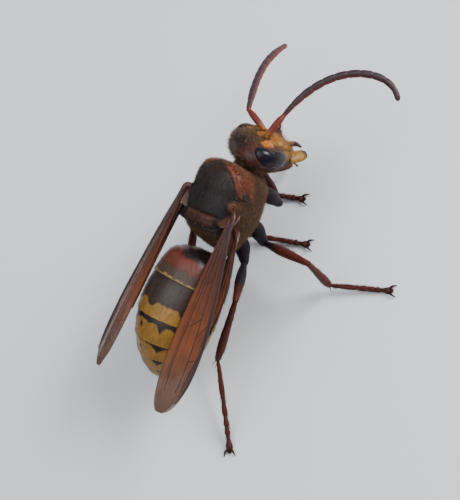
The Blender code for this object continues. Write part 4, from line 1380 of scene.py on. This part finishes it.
def leg_hairs(name, joints, seed):
    """Short bristles on the femur, tibia and foot."""
    rng = np.random.default_rng(seed)
    found = []
    for k, (radii, count) in enumerate(BRISTLES):
        start, end = joints[k : k + 2]
        way = unit(end - start)
        out = upright_to(way)
        aside = np.cross(way, out)
        share = rng.uniform(0.05, 0.97, count)
        angle = rng.uniform(0.0, 2.0 * np.pi, count)
        size = np.interp(share, shares(len(radii)), radii)
        around = out * np.sin(angle)[:, None] + aside * np.cos(angle)[:, None]
        root = start + (end - start) * share[:, None] + around * (size * 0.92)[:, None]
        lie = unit(around * 0.55 + way + rng.normal(0.0, 0.15, root.shape))
        place = np.stack([angle / (2.0 * np.pi), (k + share) / len(BRISTLES)], axis=-1)
        found.append(np.hstack([root, lie, np.broadcast_to(way, root.shape), place]))
    found = np.concatenate(found)
    found = found[found[:, 2] > 0.3]
    roots, ways, leans, places = np.split(found, (3, 6, 9), axis=1)
    ways[:, 2] = np.where(roots[:, 2] < 0.5, np.maximum(ways[:, 2], 0.0), ways[:, 2])
    lengths = rng.uniform(*BRISTLE_LENGTHS, len(roots))
    paint = mix(BROWN_HAIR, LEG_RED, rng.random(len(roots)))
    width = BRISTLE_WIDTH
    hairs(f"bristles_{name}", MODEL_FRAME, roots, ways, leans, lengths, width, paint, places)


# Stage


def build_floor():
    data = bpy.data.meshes.new("floor")
    corners = [(x * FLOOR_HALF_SIZE, y * FLOOR_HALF_SIZE, 0) for x, y in FLOOR_CORNERS]
    data.from_pydata(corners, [], [(0, 1, 2, 3)])
    material = new_material("pale floor", 0.7)
    shader_of(material).inputs["Base Color"].default_value = FLOOR_COLOUR
    data.materials.append(material)
    floor = add_to_scene("floor", data)


def camera_axes():
    """The picture's right, its top and the way back to the camera."""
    back = Vector(heading(CAMERA_AZIMUTH, CAMERA_ELEVATION))
    roll = math.radians(CAMERA_ROLL)
    level = Vector(UP).cross(back).normalized()
    up = back.cross(level)
    right = level * math.cos(roll) + up * math.sin(roll)
    rise = up * math.cos(roll) - level * math.sin(roll)
    return right, rise, back


def camera_target():
    """The middle of the picture, in millimetres about the part's origin."""
    return Vector(CAMERA_TARGET) + Vector(SHIFT)


def build_camera():
    right, rise, back = camera_axes()
    data = bpy.data.cameras.new("camera")
    data.lens = CAMERA_LENS
    data.sensor_fit = "AUTO"
    data.sensor_width = CAMERA_SENSOR
    data.clip_start, data.clip_end = CAMERA_REACH
    camera = add_to_scene("camera", data)
    place = (camera_target() + back * CAMERA_DISTANCE) * MM
    turned = Matrix((right, rise, back)).transposed().to_4x4()
    camera.matrix_world = Matrix.Translation(place) @ turned
    bpy.context.scene.camera = camera


def soft_light(name, way, distance, size, power, colour):
    """A square soft light that faces the insect from this way, in metres and watts."""
    data = bpy.data.lights.new(name, "AREA")
    data.energy = power
    data.size = size
    data.color = colour
    light = add_to_scene(name, data)
    way = way.normalized()
    light.location = way * distance + camera_target() * MM
    light.rotation_euler = way.to_track_quat("Z", "Y").to_euler()


def build_lights():
    right, rise, back = camera_axes()
    key = right * 0.55 + rise * 0.65 + back * 0.75
    fill = right * -0.8 + rise * 0.1 + back * 0.8
    soft_light("key", key, 0.30, 0.14, 1.35, (1.0, 0.98, 0.95))
    soft_light("fill", fill, 0.35, 0.25, 0.4, (0.92, 0.96, 1.0))
    soft_light("top", Vector(UP), 0.40, 0.35, 0.7, (0.97, 0.98, 1.0))
    world = bpy.data.worlds.new("world")
    world.use_nodes = True
    background = world.node_tree.nodes["Background"]
    background.inputs["Color"].default_value = SKY_COLOUR
    background.inputs["Strength"].default_value = SKY_STRENGTH
    bpy.context.scene.world = world


def build_pile(thorax, head, gaster):
    """The coats: name, skin, how many, seed, weight, lie, stand, length, width and colours."""
    points, normals = thorax[:2]
    top = smooth(0.25, 0.75, normals[..., 2]) * smooth(-2.4, -1.9, points[..., 0])
    sides = 1.0 - top
    back = top + 0.001
    dark = plain_hair(DARK_HAIR)
    gold = plain_hair(GOLD_HAIR)
    brown = plain_hair(BROWN_HAIR * 1.2)
    body = (THORAX_FRAME, thorax, "thorax_shell")
    face = (HEAD_FRAME, head, "head_shell")
    tail = (GASTER_FRAME, gaster, "gaster_shell")
    for coat in (
        ("thorax_pile", body, 17000, 11, sides, (-1, 0, -0.3), 0.5, (0.18, 0.40), 0.016, side_hair),
        ("shield_pile", body, 5000, 14, back, (-1, 0, 0), 0.35, (0.12, 0.28), 0.009, dark),
        ("thorax_fringe", body, 4200, 15, sides, (-0.3, 0, 0.2), 0.75, (0.22, 0.44), 0.011, gold),
        ("head_pile", face, 5200, 12, None, (0.2, 0, -1), 0.5, (0.12, 0.30), 0.011, head_hair),
        ("head_fringe", face, 1700, 16, None, (0.5, 0, 0.4), 0.8, (0.28, 0.58), 0.009, gold),
        ("gaster_pile", tail, 9000, 13, None, (-1, 0, 0), 0.25, (0.14, 0.30), 0.008, brown),
    ):
        lay_pile(*coat)


thorax_skin = build_thorax()
head_skin = build_head()
gaster_skin = build_gaster()
for side_name, side_sign in SIDES:
    build_antenna(side_name, side_sign)
    build_wings(side_name, side_sign)
for leg_number, leg_name in enumerate(LEG_POSES):
    leg_hairs(leg_name, build_leg(leg_name), LEG_SEED + leg_number)
build_pile(thorax_skin, head_skin, gaster_skin)
build_floor()
build_camera()
build_lights()
